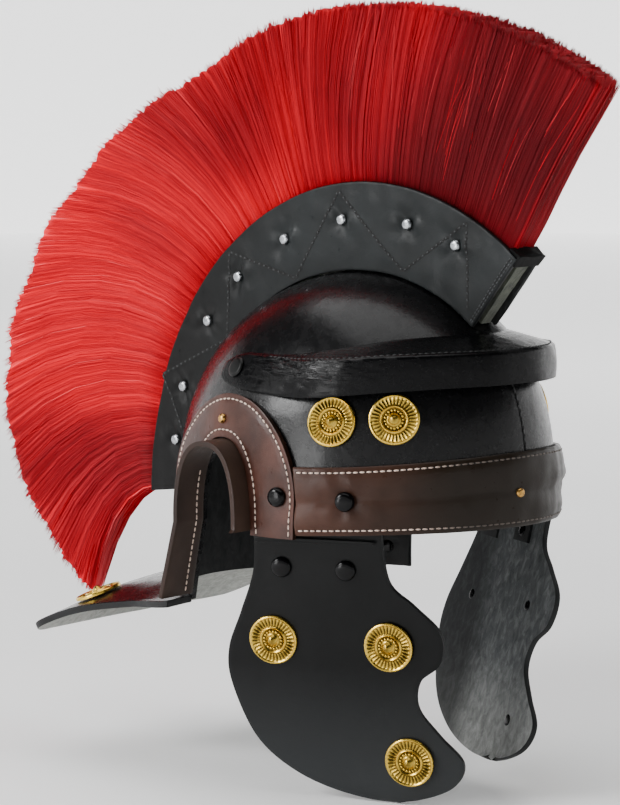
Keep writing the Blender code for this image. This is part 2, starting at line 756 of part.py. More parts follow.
def crest_edge(angle):
    flare = CREST_FLARE * smoothstep((CREST_FLARE_ANGLE - angle) / CREST_FLARE_SPAN)
    return CREST_RADIUS + CREST_SWELL * math.cos(CREST_SWELLS * (angle - CREST_SWELL_ANGLE)) + flare


def crest_side(side):
    near = CREST_HALF_WIDTH - LEATHER
    sections = []
    for step in range(CREST_STEPS + 1):
        angle = CREST_FRONT + (CREST_REAR - CREST_FRONT) * step / CREST_STEPS
        foot, edge = crest_foot(near, angle), crest_edge(angle)
        corners = ((near, foot), (CREST_HALF_WIDTH, foot), (CREST_HALF_WIDTH, edge), (near, edge))
        sections.append([crest_point(side * x, angle, radius) for x, radius in corners])
    mesh_data = bmesh.new()
    tube_grid(mesh_data, sections, closed=False)
    return add_mesh(f"crest_side_{SIDES[side]}", mesh_data, HOLDER)


def crest_core():
    half = CREST_HALF_WIDTH - LEATHER - GAP
    sections = []
    for step in range(CREST_STEPS + 1):
        front, rear = CREST_FRONT - CORE_SETBACK, CREST_REAR + CORE_SETBACK
        angle = front + (rear - front) * step / CREST_STEPS
        foot = crest_foot(0.0, angle)
        edge = crest_edge(angle) - HAIR_ROOT_DEPTH - GAP
        corners = ((-half, foot), (half, foot), (half, edge), (-half, edge))
        sections.append([crest_point(x, angle, radius) for x, radius in corners])
    mesh_data = bmesh.new()
    tube_grid(mesh_data, sections, closed=False)
    return add_mesh("crest_core", mesh_data, CORE)


def hair_lock(root_angle, tip_angle, tip_radius):
    """Places along a lock: in the holder, then straight out of it and curving to its tip."""
    edge = crest_edge(root_angle)
    collar = crest_point(0.0, root_angle, edge + HAIR_COLLAR)
    turning = crest_point(0.0, root_angle, edge + (tip_radius - edge) * BRUSH_STRAIGHT)
    tip = crest_point(0.0, tip_angle, tip_radius)
    places = [crest_point(0.0, root_angle, edge - HAIR_ROOT_DEPTH)]
    for row in range(BRUSH_ROWS):
        out = row / (BRUSH_ROWS - 1)
        places.append(collar.lerp(turning, out).lerp(turning.lerp(tip, out), out))
    return places


def crest_brush():
    """Hair in locks that fan from the holder, fused at the root and grooved between locks."""
    steps = BRUSH_LOCKS * BRUSH_LOCK_STEPS
    first, last = BRUSH_OUTLINE[0][0], BRUSH_OUTLINE[-1][0]
    right, left = [], []
    for step in range(steps + 1):
        part = step / steps
        root_angle = BRUSH_ROOT_REAR + (BRUSH_ROOT_FRONT - BRUSH_ROOT_REAR) * part
        tip_degrees = first + (last - first) * part
        valley = step % BRUSH_LOCK_STEPS == 0
        tip_radius = blend_rows(BRUSH_OUTLINE, tip_degrees)[0] - BRUSH_NOTCH * valley
        right.append([])
        left.append([])
        for row, place in enumerate(hair_lock(root_angle, math.radians(tip_degrees), tip_radius)):
            out = max(row - 1, 0) / (BRUSH_ROWS - 1)
            half = BRUSH_ROOT_HALF + (BRUSH_TIP_HALF - BRUSH_ROOT_HALF) * math.sin(math.pi / 2 * out)
            half -= BRUSH_GROOVE * valley * out
            if row == BRUSH_ROWS:
                half *= BRUSH_TIP_TAPER
            right[-1].append(place - Vector((half, 0, 0)))
            left[-1].append(place + Vector((half, 0, 0)))
    return wall("crest_brush", right, left, HAIR)


# Small metal


def bowl_fittings(side):
    name = SIDES[side]
    for place, (turn, z) in BOWL_ROSETTES.items():
        point = on_bowl(turn, z, 0.0, side)
        rosette = turned(f"rosette_bowl_{place}_{name}", ROSETTE_PROFILE, ROSETTE_BOSS, ROSETTE_SIDES, GOLD)
        seat(rosette, point, bowl_normal(point))
    spots = {
        f"rivet_ear_{name}": (*BRASS_PANEL, PANEL_THICKNESS, BRASS_RIVET, BRASS),
        f"rivet_lug_{name}": (LUG_RIVET_TURN, LUG_RIVET_HEIGHT, LEATHER, LUG_RIVET, BLACK),
    }
    for place, turn in STRAP_TURNS[side].items():
        on_panel = turn > panel_front_turn(BAND_RIVET_HEIGHT)
        leather = PANEL_THICKNESS if on_panel else BAND_PROUD
        spots[f"rivet_strap_{place}_{name}"] = (turn, BAND_RIVET_HEIGHT, leather, BLACK_RIVET, BLACK)
    for rivet_name, (turn, z, leather, size, material) in spots.items():
        point = on_bowl(turn, z, 0.0, side)
        normal = bowl_normal(point)
        seat(dome(rivet_name, size, material), point + normal * (leather + GAP), normal)


def cheek_fittings(side):
    name = SIDES[side]
    normal = hung(cheek_normal(), side, place=False)
    for place, (y, z) in CHEEK_ROSETTES.items():
        rosette = turned(f"rosette_cheek_{place}_{name}", ROSETTE_PROFILE, ROSETTE_BOSS, ROSETTE_SIDES, GOLD)
        seat(rosette, hung(cheek_face(y, z), side), normal)
    for place, (y, z) in CHEEK_RIVETS.items():
        rivet = dome(f"rivet_cheek_{place}_{name}", CHEEK_RIVET, BLACK)
        seat(rivet, hung(cheek_face(y, z), side), normal)


def neck_rosette(side):
    x, y = NECK_ROSETTE
    slope_x = (guard_height(x + SLOPE_STEP, y) - guard_height(x, y)) / SLOPE_STEP
    slope_y = (guard_height(x, y + SLOPE_STEP) - guard_height(x, y)) / SLOPE_STEP
    normal = Vector((-slope_x, -slope_y, 1.0)).normalized()
    point = Vector((x, y, guard_height(x, y))) + normal * GAP
    rosette = turned(f"rosette_neck_{SIDES[side]}", ROSETTE_PROFILE, ROSETTE_BOSS, ROSETTE_SIDES, GOLD)
    seat(rosette, mirrored(point, -side), mirrored(normal, -side))


def crest_rivets(side):
    for number, degrees in enumerate(SILVER_ANGLES, 1):
        angle = math.radians(degrees)
        point = crest_point(side * CREST_HALF_WIDTH, angle, SILVER_RADIUS)
        rivet = dome(f"rivet_crest_{number}_{SIDES[side]}", SILVER_RIVET, SILVER)
        seat(rivet, point, Vector((side, 0, 0)))


def brass_rivet_front():
    point = on_bowl(0.0, BRASS_FRONT_HEIGHT)
    normal = bowl_normal(point)
    seat(dome("rivet_brow_front", BRASS_RIVET, BRASS), point + normal * (BAND_PROUD + GAP), normal)


for old in list(bpy.data.objects):
    bpy.data.objects.remove(old)

BLACK = finish("glossy black leather", "#1b1c1d", 0.28)
HOLDER = finish("satin black leather", "#2e3133", 0.5)
BROWN = finish("brown leather", "#6b4a40", 0.45)
CORE = finish("grey felt core", "#7d8078", 0.9)
HAIR = finish("red horsehair", "#c21d22", 0.55)
GOLD = finish("gilded brass", "#c9a23a", 0.3, 1.0)
BRASS = finish("brass", "#b08a50", 0.35, 1.0)
SILVER = finish("nickel-plated steel", "#c8ccd0", 0.25, 1.0)

bowl()
brow_band()
brow_guard()
neck_guard()
for wearer_side in SIDES:
    ear_panel(wearer_side)
    ear_flange(wearer_side)
    cheek_guard(wearer_side)
    for strap_place in STRAP_TURNS[wearer_side]:
        cheek_strap(wearer_side, strap_place)
    crest_side(wearer_side)
    bowl_fittings(wearer_side)
    cheek_fittings(wearer_side)
    neck_rosette(wearer_side)
    crest_rivets(wearer_side)
crest_core()
crest_brush()
brass_rivet_front()
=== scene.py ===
"""The looks of a Roman centurion's leather helmet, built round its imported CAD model.

Metres, +Z up. The front faces -Y and the wearer's right side is -X. A place on the bowl is a turn, 0 at the
middle of the front and 90 degrees at the side, and a height. Side is -1 for the wearer's right and +1 for
the left. Each piece of leather is cut as a flat sheet, laid over its form and then given its thickness. A
dent, a groove or a fold is a pair: its depth and its width.
"""

import math

import bpy
import numpy as np
from mathutils import Euler, Matrix, Vector, noise


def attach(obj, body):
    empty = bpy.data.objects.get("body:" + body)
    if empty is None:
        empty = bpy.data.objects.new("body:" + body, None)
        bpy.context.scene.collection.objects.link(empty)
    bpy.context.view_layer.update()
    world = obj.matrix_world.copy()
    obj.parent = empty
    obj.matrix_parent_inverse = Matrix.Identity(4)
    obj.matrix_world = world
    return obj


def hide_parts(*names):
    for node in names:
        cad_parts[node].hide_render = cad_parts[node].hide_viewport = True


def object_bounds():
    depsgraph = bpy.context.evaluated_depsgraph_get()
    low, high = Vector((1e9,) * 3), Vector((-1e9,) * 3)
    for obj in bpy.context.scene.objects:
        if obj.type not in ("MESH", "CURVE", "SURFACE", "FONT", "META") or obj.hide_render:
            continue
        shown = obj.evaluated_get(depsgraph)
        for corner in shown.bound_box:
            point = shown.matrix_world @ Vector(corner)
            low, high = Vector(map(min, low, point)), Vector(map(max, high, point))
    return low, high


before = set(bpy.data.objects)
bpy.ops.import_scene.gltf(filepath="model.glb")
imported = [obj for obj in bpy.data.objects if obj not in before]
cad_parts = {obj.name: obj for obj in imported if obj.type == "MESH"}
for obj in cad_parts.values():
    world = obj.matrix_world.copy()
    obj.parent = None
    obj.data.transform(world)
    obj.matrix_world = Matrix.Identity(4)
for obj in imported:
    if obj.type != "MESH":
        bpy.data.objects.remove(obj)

cad_low, cad_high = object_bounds()

RIGHT, LEFT = -1, 1
SIDES = {RIGHT: "right", LEFT: "left"}
GAP = 0.0003
SEED = 7
CORNER = math.radians(50)  # sharper edges than this are rounded off

# Bowl
BOWL_HALF_WIDTH = 0.0930
BOWL_HALF_LENGTH = 0.1206
BOWL_CENTRE_Y = 0.0020
BOWL_TOP = 0.1419
BOWL_SHOULDER = 0.0065
BOWL_ROUNDNESS = 2.49
CROWN_SHIFT = -0.0084
BOWL_WALL = 0.0030
NECK_BOTTOM = -0.0500
BOWL_COLUMNS = 128
BOWL_LEVELS = 26
RIM_SIDE = -0.0015
RIM_RISE = 0.0085
SEAM_TURN = math.radians(2.2)
SEAM_HEIGHTS = (0.0850, 0.0440)
HEAD_MIDDLE = Vector((0.0, BOWL_CENTRE_Y, 0.03))

# Ear opening, its flange and the panel round it
EAR_CENTRE_Y = 0.0295
EAR_HALF_WIDTH = 0.0215
EAR_TOP = 0.0455
EAR_ROUNDNESS = 2.4
EAR_REAR_SLANT = 0.30
FLANGE_THICKNESS = 0.0028
FLANGE_REACH = (0.1120, 0.1060)  # of its front and rear ends
FLANGE_BOTTOM = -0.0462
FLANGE_EDGE = 0.0013
PANEL_TURN = math.radians(105.0)
PANEL_HALF_TURN = math.radians(27.5)
PANEL_SPRING = 0.0150
PANEL_TOP = 0.0725
PANEL_THICKNESS = 0.0038
PANEL_REAR_BOTTOM = -0.0420
PANEL_FOOT_DROP = 0.0028
PANEL_STITCH = (0.0030, 0.0042)  # from the outer edge, and from the edge at the flange
PANEL_GROOVE = (0.0004, 0.0010)  # under the stitches
PANEL_BRASS = (math.radians(106.7), 0.0585)
PANEL_BRASS_DENT = (0.0006, 0.0050)
PANEL_STUD_DENT = (0.0009, 0.0085)

# Brow band and brow guard
BAND_THICKNESS = 0.0022
BAND_CROWN = 0.0021
BAND_TOP_SIDE = 0.0360
BAND_TOP_RISE = 0.0092
BAND_DROP = (0.0026, 0.0014)  # below the rim at the side, and how much more at the front
BAND_SWELL = (0.0013, 0.7)  # at the middle of the front
BAND_WAVE = 0.0016  # of the folds along its left front
BAND_SEAM = 2 * GAP / BOWL_HALF_WIDTH
BAND_STITCH = 0.0032
BAND_GROOVE = (0.0003, 0.0010)
BAND_DENT = (0.0014, 0.0085)
BAND_PUCKER = (0.0004, 0.006)
STUD_HEIGHT = 0.0190
BROW_RIVET_PLACE = (0.555, 0.47)  # shares of the band's length and width
BROW_STATIONS = (  # turn, foot and corner heights, how far out they are, and how far the shelf rises
    (0, 0.0830, 0.1016, 0.0114, 0.0215, 0.0078),
    (30, 0.0822, 0.1011, 0.0112, 0.0213, 0.0075),
    (50, 0.0802, 0.0998, 0.0108, 0.0205, 0.0068),
    (64, 0.0776, 0.0977, 0.0095, 0.0185, 0.0056),
    (76, 0.0752, 0.0962, 0.0070, 0.0135, 0.0040),
    (86, 0.0750, 0.0955, 0.0045, 0.0070, 0.0022),
    (94, 0.0760, 0.0955, 0.0035, 0.0040, 0.0012),
    (104, 0.0770, 0.0956, 0.0034, 0.0035, 0.0010),
    (112, 0.0790, 0.0945, 0.0034, 0.0034, 0.0010),
    (117, 0.0830, 0.0905, 0.0034, 0.0034, 0.0010),
)
BROW_THICKNESS = 0.0030
BROW_CORNER = 0.60  # share of the section that is the upright face
BROW_ROUND = 0.028
BROW_FOLD = 0.0011

# Neck guard
GUARD_THICKNESS = 0.0042
GUARD_ROOT_Y = 0.0620
GUARD_REAR_Y = 0.1880
GUARD_ROOT_HEIGHT = -0.0470
GUARD_SLOPE_DROP = 0.0180
GUARD_LIP_DROP = 0.0136
GUARD_CROWN = 0.0140
GUARD_HALF_WIDTH = 0.0940
GUARD_LUG_REACH = 0.1050
GUARD_LUG_LENGTH = 0.0400
GUARD_CORNER = 0.0120
GUARD_TURN = math.radians(122.0)

# Cheek guards, the strips folded over their tops, and their straps
CHEEK_THICKNESS = 0.0034
CHEEK_AT_EAR = 0.0912
CHEEK_TOE_IN = 0.375
CHEEK_TUCK_IN = 0.135
CHEEK_TOP = -0.0060
CHEEK_TOP_EDGE = {RIGHT: (-0.0024, 0.0012), LEFT: (-0.0058, -0.0062)}
CHEEK_TOP_Y = (0.0055, -0.0653)
CHEEK_CROWN = 0.0012
CHEEK_OUTLINE = (
    (0.0080, -0.0256), (0.0172, -0.0500), (0.0260, -0.0720), (0.0262, -0.0925), (0.0150, -0.1235),
    (-0.0050, -0.1425), (-0.0326, -0.1537), (-0.0640, -0.1568), (-0.0922, -0.1472), (-0.1006, -0.1320),
    (-0.0885, -0.1165), (-0.0780, -0.1010), (-0.0800, -0.0855), (-0.0920, -0.0740), (-0.0936, -0.0568),
    (-0.0800, -0.0415), (-0.0672, -0.0280),
)
CHEEK_TIP = 8  # place of the lowest row among the corners
CHEEK_NORMAL = Vector((-1.0, -CHEEK_TOE_IN, -CHEEK_TUCK_IN)).normalized()
FOLD_Y = (0.0050, -0.0618)
FOLD_BOTTOM = (-0.0079, -0.0064)  # at its rear and front ends
FOLD_TOP = -0.0046
FOLD_THICKNESS = 0.0014
LEFT_HANG_PIVOT = Vector((0.0800, -0.0300, -0.0060))
LEFT_HANG_TURN = (0.6, 11.0, -4.7)
LEFT_HANG_SHIFT = Vector((0.0069, -0.0227, 0.0052))
CHEEK_RIVETS = {"rear": (-0.0085, -0.0223), "front": (-0.0443, -0.0224)}
STRAP_WIDTH = 0.0170
STRAP_THICKNESS = 0.0022
STRAP_TURNS = {
    RIGHT: {"rear": math.radians(82.8), "front": math.radians(62.8)},
    LEFT: {"rear": math.radians(73.0), "front": math.radians(54.5)},
}
STRAP_ENDS = (0.0290, -0.0290)
STRAP_BEND = {RIGHT: (0.0200, 0.0170), LEFT: (-0.0010, 0.0110)}  # its top and its length
STRAP_CLEAR = 3 * GAP

# Flap inside the neck wall
TAB_TURNS = (math.radians(105.4), math.radians(121.5))
TAB_HEIGHTS = (-0.0478, -0.0030)
TAB_THICKNESS = 0.0024
TAB_RIVET_PLACE = (0.48, 0.26)

# Crest holder, with angles from straight back and radii from the crest's centre
CREST_CENTRE = Vector((0.0, -0.0119, 0.0201))
CREST_RADIUS = 0.1708
CREST_SWELL = 0.0024
CREST_FLARE = 0.0035
CREST_FRONT = math.radians(128.7)
CREST_REAR = math.radians(-7.0)
CREST_HALF_WIDTH = 0.0122
CREST_STUDS = 8
HOLDER_LEATHER = 0.0030
HOLDER_EDGE_SEAMS = (0.0018, 0.0034)  # from the foot of the panel
HOLDER_WIDTH_SCALE = 0.36
STUD_VALLEY = (0.0021, 0.0046, 0.0090)  # depth, and widths along Y and Z
STUD_RIDGE = (0.0010, 0.0026, 0.0075)
STUD_RIDGE_SHIFT = Vector((-0.0062, 0.0025))
STUD_PUCKER = (0.0006, 0.0045)
ZIGZAG = (
    (125.1, 0.1250), (115.1, 0.1675), (101.8, 0.1250), (82.4, 0.1690), (64.7, 0.1275),
    (50.5, 0.1675), (35.2, 0.1330), (17.8, 0.1700), (5.0, 0.1420),
)
CORE_SHIFT = 0.0022  # the felt lies nearer to the left panel
CAP_STEPS = ((0.0, 0.35), (0.17, 0.32), (0.34, -0.15), (0.5, -0.20), (1.0, -2.4))  # share back, degrees

# Brush
HAIR_ROOT_DEPTH = 0.0200
BRUSH_OUTLINE = (
    (-21.8, 0.2500), (-16.0, 0.2625), (-12.0, 0.2715), (-8.0, 0.2800), (-4.0, 0.2905), (0.0, 0.2985),
    (4.0, 0.3050), (12.0, 0.3062), (20.0, 0.3032), (28.0, 0.2997), (36.0, 0.2905), (46.0, 0.2837),
    (56.0, 0.2752), (63.0, 0.2720), (70.0, 0.2740), (78.0, 0.2760), (88.0, 0.2758), (100.0, 0.2767),
    (112.0, 0.2777), (124.4, 0.2792),
)
BRUSH_ROOT_FRONT = math.radians(126.6)
BRUSH_ROOT_REAR = math.radians(-5.5)
BRUSH_HALF = (0.0082, 0.0118)  # at the roots and at the tips
BRUSH_COLLAR = 0.006
BRUSH_STRAIGHT = 0.5
REAR_ROUND = 0.05  # share of the brush over which its rear end is rounded off
BRUSH_PARTING = ((0.0, 0.0), (0.30, 0.0), (0.45, 2.0), (0.55, 8.0), (0.66, 12.0), (0.80, 7.0), (1.0, 0.0))
BODY_GRID = (420, 12)
BODY_INSET = (0.0004, 0.0007)
HAIR_STEPS = 7
HAIR_BLUNT = 0.955  # share of a hair's length at which it starts to taper to its point
LOOSE_STEPS = 9
# Brightness is partly the dye's own patches and partly painted: painted shade darkens the front, and
# painted highlights and shade follow the folds
HAIR_TONES_PAINTED_SHADING = (  # degrees round the crest, and brightness at the root, the middle and the tip
    (-16, 0.58, 0.68, 0.64), (-10, 0.46, 0.50, 0.56), (-4, 0.40, 0.40, 0.50), (2, 0.38, 0.42, 0.56),
    (8, 0.64, 0.80, 0.78), (14, 0.80, 0.80, 0.80), (20, 0.70, 0.80, 0.76), (26, 0.78, 0.74, 0.80),
    (32, 0.70, 0.82, 0.84), (38, 0.80, 0.62, 0.72), (44, 0.74, 0.78, 0.76), (50, 0.85, 0.76, 0.58),
    (56, 0.98, 0.54, 0.60), (62, 0.96, 0.44, 0.64), (68, 1.0, 0.54, 0.64), (74, 0.66, 0.78, 0.56),
    (80, 0.66, 0.58, 0.60), (86, 0.58, 0.42, 0.62), (92, 0.33, 0.62, 0.46), (98, 0.28, 0.42, 0.70),
    (104, 0.22, 0.32, 0.42), (110, 0.25, 0.23, 0.30), (116, 0.30, 0.22, 0.34), (122, 0.32, 0.18, 0.36),
)
HAIR_WAVES = ((0.9, 6.2, 0.5, 0.7), (0.7, 12.7, -0.35, 2.1), (0.45, 27.0, 0.25, 4.0))

# Rosettes, rivets and stitches
ROSETTE_PROFILE = (
    (0.0, 0.0), (0.0143, 0.0), (0.0143, 0.0012), (0.01395, 0.00185), (0.0133, 0.0020), (0.0128, 0.0016),
    (0.0125, 0.0011), (0.0120, 0.00105), (0.0110, 0.00095), (0.0098, 0.0009), (0.0086, 0.0009),
    (0.0082, 0.0011), (0.0078, 0.0019), (0.0073, 0.0023), (0.0068, 0.0020), (0.0064, 0.0014),
    (0.0058, 0.0012), (0.0042, 0.0014), (0.0034, 0.0018), (0.0029, 0.0028), (0.0020, 0.0037),
    (0.0010, 0.0044), (0.0, 0.0047),
)
RIBS = 34
RIB_HEIGHT = 0.00055
BEADS = 17
BEAD_RADIUS = 0.00078
BEAD_CIRCLE = 0.0051
DOME_STEPS = 8
HOLE_SIDES = 6
HOLE_LEVELS = (-0.0002, 0.00012)

# Studio
BACKDROP_RADIUS = 7.0
BACKDROP_HEIGHT = 2.6
BACKDROP_GLOW = (0.15, 1.3)
FLOOR_GLOW = (0.12, 1.05)
WORLD_FILL = 0.06
SOFTBOXES = (  # place, aim, size and watts
    ("key_softbox", (-1.15, 0.75, 0.75), (0.0, 0.05, 0.05), (0.5, 0.55), 21),
    ("side_softbox", (-1.55, 0.45, 0.0), (0.0, 0.0, 0.0), (0.5, 0.9), 12.5),
    ("overhead_softbox", (0.3, 0.3, 3.2), (0.0, 0.0, 0.0), (3.5, 3.5), 115),
    ("fill_softbox", (1.4, -0.9, 1.0), (0.0, 0.0, 0.0), (0.8, 1.2), 1.5),
)
CAMERA_TURN = math.radians(-50.0)
CAMERA_RISE = math.radians(6.0)
CAMERA_DISTANCE = 1.700
CAMERA_AIM = (-0.0157, 0.0290, 0.0629)
CAMERA_LENS = 129.2
CAMERA_SENSOR = 36.0


# Materials

RGBA = {"data_type": "RGBA"}


def linear(code):
    """The linear colour of an sRGB hex code."""
    parts = [int(code[at : at + 2], 16) / 255 for at in (1, 3, 5)]
    return [p / 12.92 if p <= 0.04045 else ((p + 0.055) / 1.055) ** 2.4 for p in parts] + [1.0]


def add_node(material, kind, settings=None, links=None, out=0):
    """Adds a node with its settings, by socket or property, and its links, and returns an output."""
    added = material.node_tree.nodes.new("ShaderNode" + kind)
    for key, value in (settings or {}).items():
        if key == "stops":
            elements = added.color_ramp.elements
            while len(elements) < len(value):
                elements.new(0.5)
            for element, (place, code) in zip(elements, value):
                element.position = place
                element.color = linear(code)
        elif isinstance(key, int) or key in added.inputs:
            added.inputs[key].default_value = value
        else:
            setattr(added, key, value)
    for key, source in (links or {}).items():
        material.node_tree.links.new(source, added.inputs[key])
    return added.outputs[out]


def new_material(name, **settings):
    """A material, with constants set on its shader's own sockets."""
    material = bpy.data.materials.new(name)
    material.use_nodes = True
    sockets = material.node_tree.nodes["Principled BSDF"].inputs
    for key, value in settings.items():
        sockets[key.replace("_", " ")].default_value = value
    return material


def finish(material, heights=(), **sources):
    """Links outputs to the shader's sockets, and a chain of bumps to its normal.

    Each bump is a height, its depth in metres and its strength.
    """
    for height, depth, strength in heights:
        links = {"Height": height}
        if "Normal" in sources:
            links["Normal"] = sources["Normal"]
        settings = {"Strength": strength, "Distance": depth}
        sources["Normal"] = add_node(material, "Bump", settings, links)
    sockets = material.node_tree.nodes["Principled BSDF"].inputs
    for key, source in sources.items():
        material.node_tree.links.new(source, sockets[key.replace("_", " ")])
    return material


def per_mm(size):
    """Texture scale for a pattern whose feature is this many millimetres."""
    return 1000.0 / size


def grain(size_mm, detail=3.0, rough=0.55, distortion=0.0):
    """Settings of a noise whose lumps are this many millimetres."""
    return {"Scale": per_mm(size_mm), "Detail": detail, "Roughness": rough, "Distortion": distortion}


def span(low, high, out_low=0.0, out_high=1.0):
    """Settings that turn one range into another."""
    return {1: low, 2: high, 3: out_low, 4: out_high}


def shaded(material, colour, place, shade, most=1.0):
    """Colour that goes over to another. Shade gives the axis, the start and end, and the last colour."""
    # Most materials use this to paint light and shade along an axis
    axis, start, end, code = shade
    travel = add_node(material, "SeparateXYZ", None, {0: place}, axis)
    share = add_node(material, "MapRange", span(start, end, 0.0, most), {0: travel})
    return add_node(material, "Mix", {**RGBA, 7: linear(code)}, {0: share, 6: colour}, 2)


def leather(name, stops, gloss, shine=0.3, coat=0.0, crinkled=False, shade=None):
    """Dyed and finished cowhide: cell grain, soft creases, and wear that lightens it in patches."""
    material = new_material(name, Specular_IOR_Level=shine, Coat_Weight=coat, Coat_Roughness=0.12, IOR=1.5)
    place = add_node(material, "TexCoord", out="Object")
    cloud = add_node(material, "TexNoise", grain(45, 4.0, 0.6), {"Vector": place})
    fine = add_node(material, "TexNoise", grain(6, 5.0, 0.65), {"Vector": place})
    crease = add_node(material, "TexNoise", grain(14, 3.0, 0.5, 0.6), {"Vector": place})
    cells = add_node(material, "TexVoronoi", {"Scale": per_mm(0.9)}, {"Vector": place})
    colour = add_node(material, "ValToRGB", {"stops": stops}, {"Fac": cloud})
    worn = add_node(material, "MapRange", span(0.5, 0.8, 0.0, 0.22), {0: fine})
    colour = add_node(material, "Mix", {**RGBA, 7: linear(stops[-1][1])}, {0: worn, 6: colour}, 2)
    if shade:
        colour = shaded(material, colour, place, shade)
    sources = {"Base Color": colour}
    sources["Roughness"] = add_node(material, "MapRange", span(0.3, 0.7, *gloss), {0: fine})
    heights = [(crease, 0.0006, 0.5), (cells, 0.00006, 0.5), (fine, 0.00012, 0.35)]
    if crinkled:
        amount = add_node(material, "Attribute", {"attribute_name": "crinkle"}, out="Fac")
        drawn = add_node(material, "Mapping", {"Scale": (1.0, 0.16, 1.7)}, {"Vector": place})
        ridges = add_node(material, "TexNoise", grain(3.0, 2.5, 0.5, 0.5), {"Vector": drawn})
        raised = add_node(material, "Math", {"operation": "MULTIPLY"}, {0: ridges, 1: amount})
        heights.insert(1, (raised, 0.0026, 1.0))
        polish = add_node(material, "MapRange", span(0.0, 1.0, shine, 0.2), {0: amount})
        sources["Specular IOR Level"] = polish
    return finish(material, heights, **sources)


def flesh_side(name, stops, depth=0.0006, painted_light_low=None, shade=None):
    """The unfinished inside of the hide: matt, fibrous and uneven in tone, and paler low down where a
    painted light is given.
    """
    material = new_material(name, Roughness=0.92, IOR=1.45)
    place = add_node(material, "TexCoord", out="Object")
    stretched = add_node(material, "Mapping", {"Scale": (1.5, 1.5, 0.8)}, {"Vector": place})
    streaks = add_node(material, "TexNoise", grain(7, 6.0, 0.7, 0.6), {"Vector": stretched})
    fluff = add_node(material, "TexNoise", grain(1.6, 4.0, 0.7), {"Vector": place})
    colour = add_node(material, "ValToRGB", {"stops": stops}, {"Fac": streaks})
    if painted_light_low:
        height = add_node(material, "SeparateXYZ", None, {0: place}, "Z")
        low = add_node(material, "MapRange", span(-0.085, -0.150, 0.0, 0.75), {0: height})
        patchy = add_node(material, "Math", {"operation": "MULTIPLY"}, {0: low, 1: streaks})
        colour = add_node(material, "Mix", {**RGBA, 7: linear(painted_light_low)}, {0: patchy, 6: colour}, 2)
    if shade:
        colour = shaded(material, colour, place, shade, 0.75)
    return finish(material, [(streaks, depth, 0.7), (fluff, 0.0003, 0.6)], Base_Color=colour)


def metal(name, bright, dull, roughness, recess=None):
    """Polished and lacquered metal, with a faint unevenness from stamping and handling."""
    material = new_material(name, Metallic=1.0)
    place = add_node(material, "TexCoord", out="Object")
    cloud = add_node(material, "TexNoise", grain(2.5, 4.0, 0.6), {"Vector": place})
    colour = add_node(material, "ValToRGB", {"stops": ((0.5, bright), (0.7, dull))}, {"Fac": cloud})
    if recess:
        low = add_node(material, "Attribute", {"attribute_name": "recess"}, out="Fac")
        colour = add_node(material, "Mix", {**RGBA, 7: linear(recess)}, {0: low, 6: colour}, 2)
    rough = add_node(material, "MapRange", span(0.3, 0.7, *roughness), {0: cloud})
    return finish(material, [(cloud, 0.00012, 0.35)], Base_Color=colour, Roughness=rough)


def plain(name, stops=None, cloud=None, relief=None, shade=None, **settings):
    """A colour that may be clouded, and a fine relief that is given as its grain, depth and strength."""
    material = new_material(name, **settings)
    place = add_node(material, "TexCoord", out="Object")
    sources = {}
    if stops:
        tone = add_node(material, "TexNoise", cloud, {"Vector": place})
        sources["Base_Color"] = add_node(material, "ValToRGB", {"stops": stops}, {"Fac": tone})
    if shade:
        sources["Base_Color"] = shaded(material, sources["Base_Color"], place, shade, 0.9)
    heights = []
    if relief:
        heights.append((add_node(material, "TexNoise", relief[0], {"Vector": place}), *relief[1:]))
    return finish(material, heights, **sources)


def horsehair(name, streaked):
    """Dyed horsehair: smooth fibres with a silky shine. Its tone is darkest towards the front in painted
    shade, over the dye's own patches.
    """
    material = new_material(name, Roughness=0.42, Specular_IOR_Level=0.08)
    tone = add_node(material, "Attribute", {"attribute_name": "tone"}, out="Fac")
    heights = []
    if streaked:
        chart = add_node(material, "TexCoord", out="UV")
        # Hairs are drawn about 1 mm apart over a tip arc of 0.9 m, coarser than real ones
        along = add_node(material, "Mapping", {"Scale": (900.0, 3.0, 1.0)}, {"Vector": chart})
        streaks = add_node(material, "TexNoise", {**grain(1.0, 3.0, 0.6), "Scale": 1.0}, {"Vector": along})
        shift = add_node(material, "MapRange", span(0.3, 0.7, -0.10, 0.04), {0: streaks})
        tone = add_node(material, "Math", {"operation": "ADD"}, {0: tone, 1: shift})
        heights.append((streaks, 0.0004, 0.6))
    dark = ((0.0, "#380a12"), (0.3, "#70121a"), (0.6, "#ac1422"))
    bright = ((0.85, "#dc0020"), (0.94, "#f00a26"), (1.0, "#ff5c64"))
    colour = add_node(material, "ValToRGB", {"stops": dark + bright}, {"Fac": tone})
    return finish(material, heights, Base_Color=colour)


# Hide dyed black, glazed and polished, for the bowl and the neck guard: sharp, glossy highlights
GLOSS_BLACK = leather(
    "polished_black_cowhide", ((0.3, "#050506"), (0.7, "#0b0b0c")), (0.21, 0.33), 0.22, 0.05
)
# Black hide with a duller finish for the cheek guards, paler towards their points in a painted sheen
SATIN_BLACK_PAINTED_SHEEN = leather(
    "satin_black_cowhide",
    ((0.3, "#030404"), (0.7, "#090a0a")),
    (0.28, 0.42),
    0.16,
    shade=("Z", -0.078, -0.145, "#2b2d2e"),
)
# Waxed hide of the crest holder: a soft grey-black bloom, darkened towards the rear in painted shade
HOLDER_BLACK_PAINTED_SHADE = leather(
    "waxed_black_cowhide",
    ((0.3, "#070909"), (0.7, "#1b1f20")),
    (0.27, 0.6),
    0.14,
    shade=("Y", 0.03, 0.13, "#030303"),
)
# Thin black hide of the brow guard, gathered into fine ridges where it catches the light
CRINKLED = leather(
    "gathered_black_cowhide", ((0.3, "#020203"), (0.7, "#060607")), (0.2, 0.34), 0.10, 0.03, crinkled=True
)
# Brown hide, clouded from reddish to nearly black, with a satin shine
BROWN = leather("brown_cowhide", ((0.3, "#25130e"), (0.5, "#3b2119"), (0.7, "#53332a")), (0.26, 0.44), 0.2)
